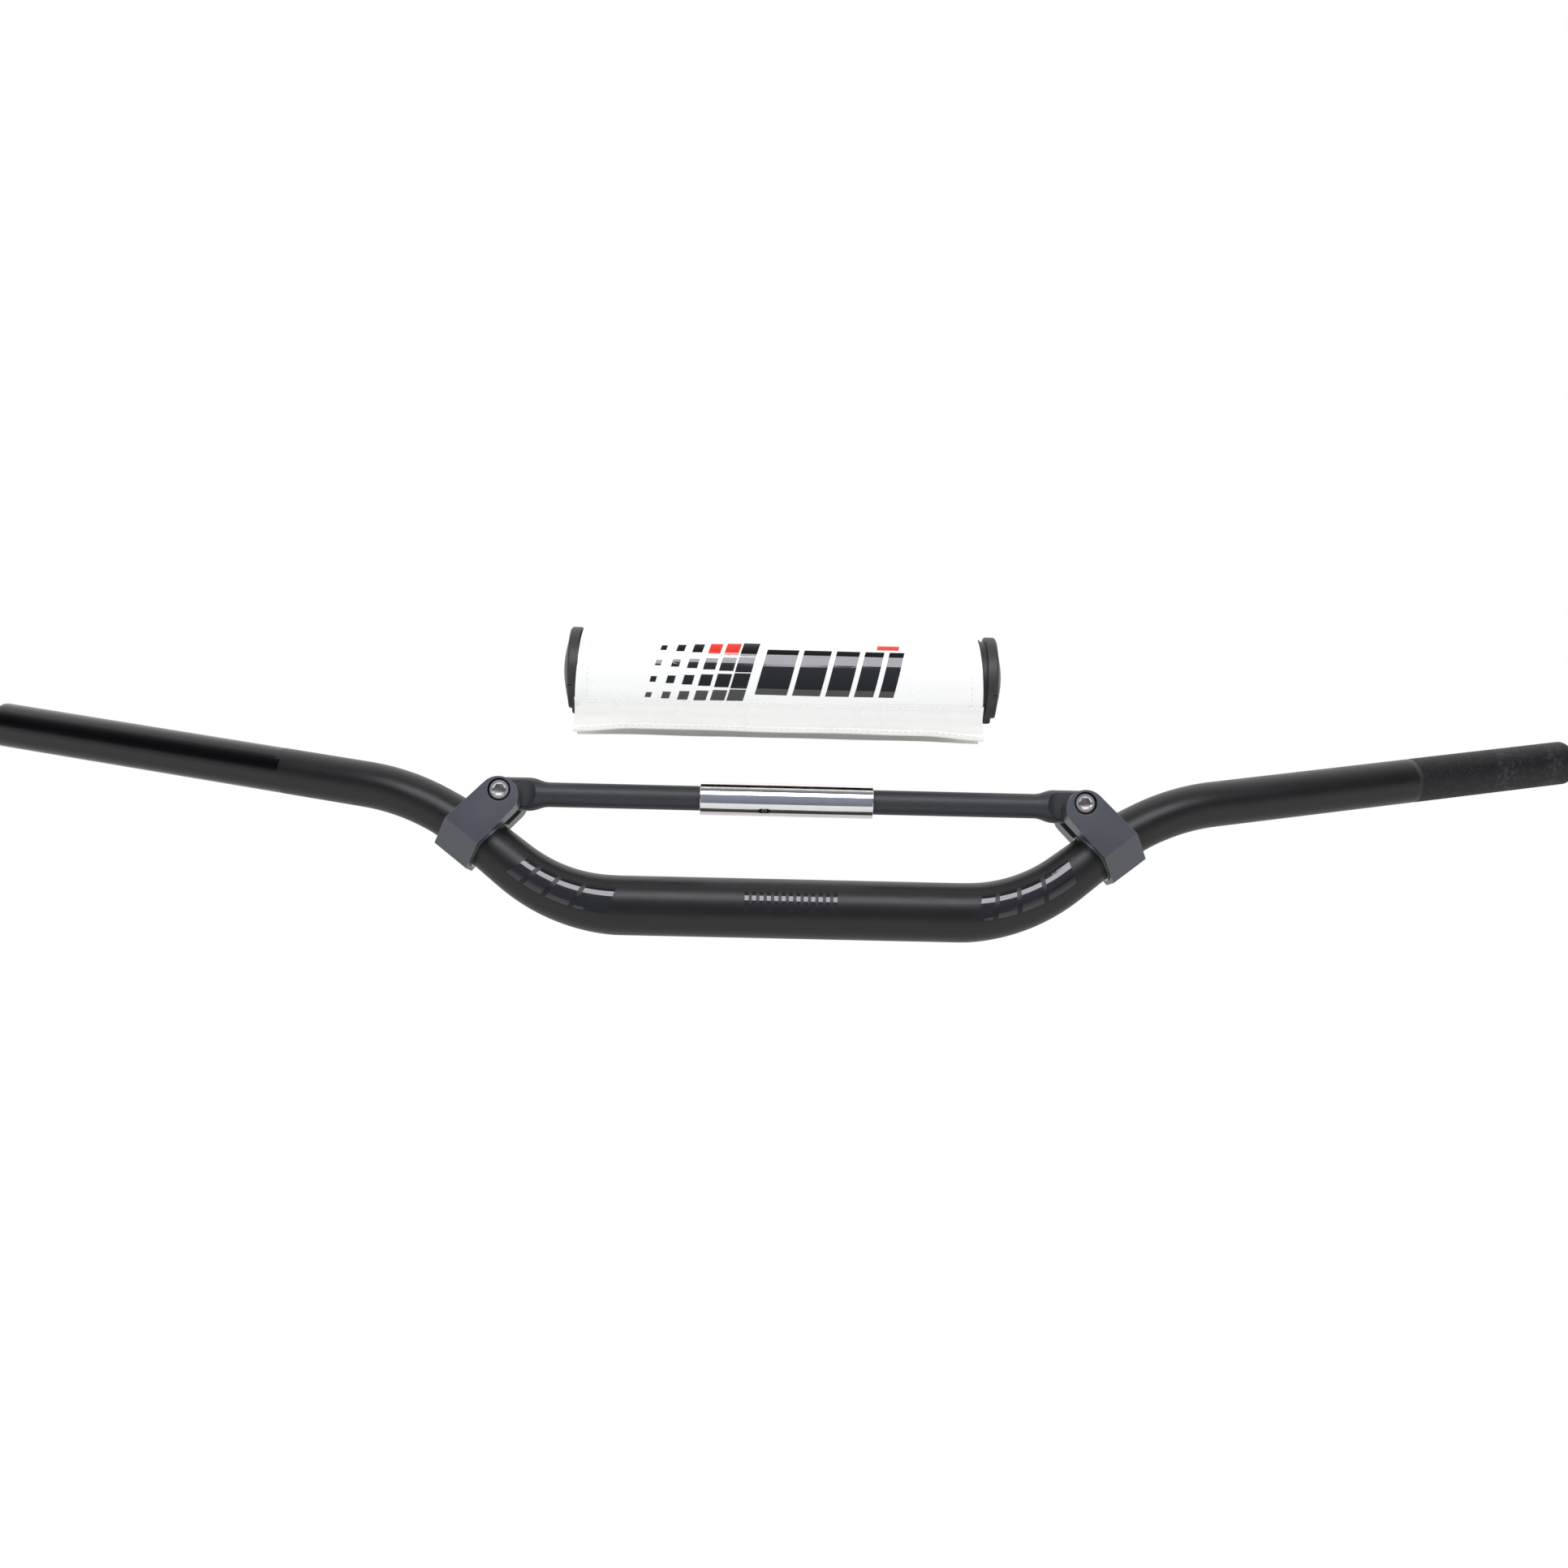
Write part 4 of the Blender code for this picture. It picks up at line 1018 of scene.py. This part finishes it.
def make_cap(side, word):
    """Moulded rubber end cap: neck, rolled rim, a low cone and a parting groove across it."""
    neck = 19.2 * MM
    rim = 21.4 * MM
    neck_end = COVER_HALF + 2.2 * MM
    rim_end = neck_end + 5.2 * MM
    roll = 1.2 * MM
    outer = rolled(rim, rim_end, roll, (90, 67, 45, 22, 0))
    inner = rolled(rim, neck_end, 0.5 * MM, (0, 45, 90), 1)
    steps = 14
    cone = []
    for i in range(steps + 1):
        share = i / steps
        rise = 3.9 * MM * (1 - share ** 1.35)
        cone.append(((rim - roll) * 0.96 * share, rim_end + rise))
    cone[-1] = ((rim - roll) * 0.96, rim_end + 0.02 * MM)
    spigot = 20.0 * MM
    spigot_end = FOAM_HALF + 0.3 * MM
    profile = cone + outer + inner + [(neck, neck_end), (neck, COVER_HALF - 0.2 * MM)]
    profile += [(spigot, COVER_HALF - 0.3 * MM), (spigot, spigot_end), (0.0, spigot_end)]
    mesh = lathe("cap_" + word, profile, along_x(side, PAD_CENTRE), 96)
    groove_x = side * (rim_end + 2.0 * MM)
    outline = [(-30 * MM, -0.25 * MM), (30 * MM, -0.25 * MM), (30 * MM, 0.25 * MM), (-30 * MM, 0.25 * MM)]
    middle = PAD_CENTRE + Vector((groove_x, 0.0, -10.4 * MM))
    groove = prism("groove", outline, 4.0 * MM, frame_matrix((0, 1, 0), (0, 0, 1), (1, 0, 0), middle))
    mesh = cut(mesh, slot_cutter(), groove)
    add_piece("cap_" + word, mesh, "pad", CAP, sharp=38, node_name="pad_end_cap_" + word)


def flap_section(word, share):
    """Distance out, height and outward normal of a flap in the end view, for a share of its outline."""
    _, out, straight, end, _, curl = FLAPS[word]
    leave = math.radians(38)
    lapped = COVER_SURFACE + 0.1 * MM
    if share < LAP_SHARE:
        angle = leave + math.radians(6) * (1 - share / LAP_SHARE)
        return lapped * math.sin(angle), -lapped * math.cos(angle), (math.sin(angle), -math.cos(angle))
    if share > HANG_SHARE:
        hanging = (share - HANG_SHARE) / (1 - HANG_SHARE)
        return out - curl * hanging ** 2, straight + (end - straight) * hanging, (1.0, 0.0)
    points = [Vector((lapped * math.sin(leave), -lapped * math.cos(leave)))]
    points += [points[0] + Vector((-math.cos(leave), -math.sin(leave))) * 2.4 * MM,
               Vector((out, straight + 2.6 * MM)), Vector((out, straight))]
    t = (share - LAP_SHARE) / (HANG_SHARE - LAP_SHARE)
    weights = ((1 - t) ** 3, 3 * t * (1 - t) ** 2, 3 * t * t * (1 - t), t ** 3)
    point = sum((p * w for p, w in zip(points, weights)), Vector((0.0, 0.0)))
    legs = [points[i + 1] - points[i] for i in range(3)]
    slope = legs[0] * (1 - t) ** 2 + legs[1] * 2 * t * (1 - t) + legs[2] * t * t
    slope.normalize()
    return point.x, point.y, (-slope.y, slope.x)


def flap_point(word, x, share, height):
    """A point on a flap: share runs from its seam on the cover (0) to the free edge (1)."""
    side, _, _, _, drop, _ = FLAPS[word]
    out, z, normal = flap_section(word, share)
    hanging = smoothstep(0.4, 1.0, share)
    ends = smoothstep(0.068, COVER_HALF, abs(x)) * hanging
    lift = height + 0.3 * MM * (0.4 + noise.noise(Vector((x * 45, side * 4.0, 1.5)))) * hanging
    lift += 0.4 * MM * ends + pucker(x, (share - LAP_SHARE) * 0.02)
    z -= drop * ends + 0.35 * MM * noise.noise(Vector((x * 30, side * 9.0, 5.5))) * hanging
    along = cover_x(x, -1.0) + math.copysign(0.4 * MM * ends, x)
    return PAD_CENTRE + Vector((along, side * (out + normal[0] * lift), z + normal[1] * lift))


def outer_height(share):
    """A flap's outer face above its middle: thin at the lapped seam, thicker at the folded hem."""
    cloth = CLOTH_HALF * (0.2 + 0.8 * smoothstep(0.0, LAP_SHARE, share))
    return cloth + HEM * smoothstep(0.84, 0.87, share)


def make_flap(word):
    """A closing flap: lapped and sewn on the cover, then hanging to its hem."""
    outer = [(0.0, 0.0), (0.015, 1.0)] + [(i / 36, 1.0) for i in range(1, 36)]
    outer += [(0.99, 1.0), (1.01, 0.55)]
    rows = []
    for x in stations(-COVER_HALF, COVER_HALF, 1.4 * MM):
        row = [flap_point(word, x, share, outer_height(share) * full) for share, full in outer]
        for share, full in reversed(outer):
            under = 0.12 * MM + (CLOTH_HALF - 0.12 * MM) * smoothstep(LAP_SHARE, 0.35, share)
            row.append(flap_point(word, x, share, -under * (0.5 + 0.5 * full)))
        rows.append(row)
    name = "flap_cloth_" + word
    piece = add_piece(name, cloth_mesh(name, rows), None, VINYL, sharp=60,
                      node_name="pad_flap_" + word)
    side = FLAPS[word][0]
    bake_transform(piece)

    def row_of(name, share, body):
        _, _, (out, up) = flap_section(word, share)
        normal = Vector((0.0, side * out, up))
        path = stitch_path(lambda s: (flap_point(word, s, share, outer_height(share)), normal),
                           -COVER_HALF + 2 * MM, COVER_HALF - 2 * MM)
        add_piece(name, capsules(name, path, 0.19 * MM, 0.06 * MM), body, THREAD)
    row_of("stitches_flap_" + word, 0.885, "flap_" + word)
    row_of("stitches_seam_" + word, 0.08, "pad")


def make_tape(node_name, word, outer):
    """Hook or loop tape sewn along a flap: a knitted ground with its field of hooks or loops."""
    ground = 0.2 * MM
    reach = 0.2 * MM
    start = -COVER_HALF + 4 * MM
    end = COVER_HALF - 4 * MM
    upper = HANG_SHARE + 0.04
    lower = 0.97
    share_per_metre = (1 - HANG_SHARE) / (FLAPS[word][2] - FLAPS[word][3])

    def on_tape(x, share, height):
        if outer:
            return flap_point(word, x, share, outer_height(share) + height)
        return flap_point(word, x, share, -CLOTH_HALF - height)
    section = [(share, ground) for share in (upper, 0.76, 0.84, 0.87, lower)]
    section += [(lower, -0.1 * MM), (upper, -0.1 * MM)]
    xs = stations(start, end, 1.6 * MM)
    points = [on_tape(x, share, height) for x in xs for share, height in section]
    faces = grid_faces(len(xs), len(section), close_columns=True)
    faces += [tuple(range(len(section))), tuple(range(len(points) - len(section), len(points)))]
    pitch = 1.15 * MM
    half = 0.07 * MM
    for i in range(int((end - start - 1.5 * MM) / pitch)):
        for j in range(3):
            x = start + 1.0 * MM + i * pitch + (0.5 * pitch if j == 1 else 0.0)
            share = upper + (lower - upper) * (j + 0.5) / 3
            lean = 0.25 * MM * noise.noise(Vector((x * 900, share * 9, 0.5)))
            first = len(points)
            for k in range(5):
                bend = math.pi * k / 4
                for dx, rise in ((-half, -half), (half, -half), (half, half), (-half, half)):
                    height = ground + (reach - half) * math.sin(bend) + rise * math.sin(bend)
                    spread = (0.22 * MM + rise) * math.cos(bend)
                    points.append(on_tape(x + lean + dx, share + spread * share_per_metre, height))
            faces += [tuple(first + n for n in f) for f in grid_faces(5, 4, close_columns=True)]
            faces += [tuple(first + k for k in range(4)), tuple(first + 16 + k for k in range(4))]
    mesh = outward(mesh_from(node_name + "_tape", points, faces))
    add_piece(node_name + "_tape", mesh, "flap_" + word, TAPE, smooth=False,
              node_name=node_name)


def make_pad():
    make_cover()
    make_cover_stitching()
    make_prints()
    make_foam()
    make_cap(-1, "left")
    make_cap(1, "right")
    make_flap("front")
    make_flap("rear")
    make_tape("hook_strip", "front", False)
    make_tape("loop_strip", "rear", True)


# ==== Studio ====
FLOOR_Z = -0.236
CARD_Y = -0.461
CARD_EDGE_Z = AXIS_Z + 0.245    # the soft box starts here and the dim card ends here
CAMERA_TARGET = Vector((0.0, 0.0, AXIS_Z + 0.059))
CAMERA_DISTANCE = 0.800
CAMERA_ELEVATION = math.radians(-7.0)
CAMERA_YAW = math.radians(1.31)
CAMERA_ROLL = math.radians(1.21)
CAMERA_LENS = 37.90
BACKGROUND = (1.0, 1.0, 1.0)


def make_floor():
    """A round, pale floor whose edge melts into the background."""
    profile = [(r, 0.0) for r in (0.0, 0.5, 1.0, 2.0, 4.0, 12.0)] + [(0.0, -0.01)]
    mesh = lathe("studio_floor", profile, Matrix.Translation((0.0, 0.0, FLOOR_Z)), 96)
    material, tree, surface = new_material("studio_floor")
    here = node(tree, "TexCoord").outputs["Object"]
    away = node(tree, "VectorMath", {0: here}, operation="LENGTH").outputs["Value"]
    fade = node(tree, "MapRange", {0: away, 1: 0.55, 2: 1.6, 3: 0.0, 4: 1.0}).outputs[0]
    drive(surface, Base_Color=(0.90, 0.90, 0.90), Roughness=0.8,
          Normal=bump(tree, grain(tree, here, 1.5 * MM), 0.02 * MM, 0.2))
    glow = node(tree, "Emission", {"Color": (*BACKGROUND, 1.0), "Strength": 1.0})
    blend = node(tree, "MixShader", {0: fade, 1: surface.outputs[0], 2: glow.outputs[0]})
    output = [n for n in tree.nodes if n.type == "OUTPUT_MATERIAL"][0]
    tree.links.new(blend.outputs[0], output.inputs[0])
    mesh.materials.append(material)
    floor = link("studio_floor", mesh)
    floor.visible_glossy = False


def make_world():
    """White surround for the camera, soft fill for matt surfaces, and banded light for reflections."""
    world = bpy.data.worlds.new("studio")
    world.use_nodes = True
    bpy.context.scene.world = world
    tree = world.node_tree
    tree.nodes.clear()
    direction = node(tree, "SeparateXYZ", {0: node(tree, "TexCoord").outputs["Generated"]})
    height = direction.outputs[2]
    forward = product(tree, direction.outputs[1], -1.0)
    angle = maths(tree, "ARCTAN2", height, forward)
    share = maths(tree, "ADD", maths(tree, "DIVIDE", angle, 2 * math.pi), 0.5)

    def at(degrees):
        return degrees / 360 + 0.5

    def grey(level, blue):
        return (level * (1 - blue), level * (1 - 0.6 * blue), level * (1 + blue))
    stops = ((-180, 0.60, -0.01), (-136, 0.48, -0.02), (-96, 0.50, -0.02), (-68, 0.62, -0.01),
             (-42, 0.68, 0.0), (-17, 0.48, 0.03), (3, 0.075, 0.06), (27, 0.030, 0.05), (52, 0.080, 0.04),
             (70, 0.30, 0.03), (81, 0.68, 0.01), (121, 0.94, 0.0), (180, 0.60, -0.01))
    bands = ramp(tree, share, [(at(degrees), grey(level, blue)) for degrees, level, blue in stops])
    mirrored = node(tree, "Background", {"Color": bands, "Strength": 1.25})
    soft = node(tree, "MapRange", {0: height, 1: -1.0, 2: 1.0, 3: 0.90, 4: 1.35}).outputs[0]
    fill = node(tree, "Background", {"Color": (1.0, 1.0, 1.0, 1.0), "Strength": soft})
    seen = node(tree, "Background", {"Color": (*BACKGROUND, 1.0), "Strength": 1.0})
    ray = node(tree, "LightPath")
    inputs = {0: ray.outputs["Is Glossy Ray"], 1: fill.outputs[0], 2: mirrored.outputs[0]}
    light = node(tree, "MixShader", inputs)
    inputs = {0: ray.outputs["Is Camera Ray"], 1: light.outputs[0], 2: seen.outputs[0]}
    both = node(tree, "MixShader", inputs)
    output = node(tree, "OutputWorld")
    tree.links.new(both.outputs[0], output.inputs[0])


def reflected_card(name, half, low, high, below, above, strength):
    """An upright card before the bar, shaded from its lower edge up. Only reflections show it."""
    corners = [(-half, CARD_Y, low), (half, CARD_Y, low), (half, CARD_Y, high), (-half, CARD_Y, high)]
    mesh = mesh_from(name, corners, [(0, 1, 2, 3)])
    material = bpy.data.materials.new(name)
    material.use_nodes = True
    tree = material.node_tree
    tree.nodes.clear()
    height = node(tree, "SeparateXYZ", {0: node(tree, "TexCoord").outputs["Object"]}).outputs[2]
    share = node(tree, "MapRange", {0: height, 1: low, 2: high, 3: 0.0, 4: 1.0}).outputs[0]
    glow = node(tree, "Emission", {"Color": mix_colour(tree, share, below, above), "Strength": strength})
    output = node(tree, "OutputMaterial")
    tree.links.new(glow.outputs[0], output.inputs[0])
    mesh.materials.append(material)
    card = link(name, mesh)
    card.visible_camera = False
    card.visible_diffuse = False
    card.visible_shadow = False


def make_cards():
    """A soft box above and before the middle of the bar, and a dim card below it."""
    white = (0.93, 0.93, 1.0)
    reflected_card("studio_strip", 0.45, CARD_EDGE_Z, AXIS_Z + 0.545, white, white, 4.6)
    reflected_card("studio_front_card", 0.25, AXIS_Z - 0.31, CARD_EDGE_Z, (0.16, 0.18, 0.21),
                   (0.28, 0.29, 0.37), 1.0)


def make_camera():
    """The camera looks slightly up at the bar from just below and before it."""
    level = Vector((math.cos(CAMERA_YAW), -math.sin(CAMERA_YAW), 0.0))
    ahead = Vector((math.sin(CAMERA_YAW), math.cos(CAMERA_YAW), 0.0))
    forward = ahead * math.cos(CAMERA_ELEVATION) - Vector((0.0, 0.0, math.sin(CAMERA_ELEVATION)))
    above = ahead * math.sin(CAMERA_ELEVATION) + Vector((0.0, 0.0, math.cos(CAMERA_ELEVATION)))
    right = level * math.cos(CAMERA_ROLL) + above * math.sin(CAMERA_ROLL)
    up = above * math.cos(CAMERA_ROLL) - level * math.sin(CAMERA_ROLL)
    data = bpy.data.cameras.new("camera")
    data.lens = CAMERA_LENS
    data.sensor_width = 36.0
    data.shift_x = -0.0056
    data.shift_y = 0.0020
    data.clip_start = 0.01
    camera = link("camera", data)
    camera.matrix_world = frame_matrix(right, up, -forward, CAMERA_TARGET - forward * CAMERA_DISTANCE)
    bpy.context.scene.camera = camera


def make_studio():
    bpy.context.scene.view_settings.view_transform = "Standard"
    make_floor()
    make_world()
    make_cards()
    make_camera()


# ==== Assembly ====
make_tube()
make_knurl()
make_decals()
make_clamps()
make_bolt(-1, "left")
make_bolt(1, "right")
make_crossbar()
make_pad()
make_studio()
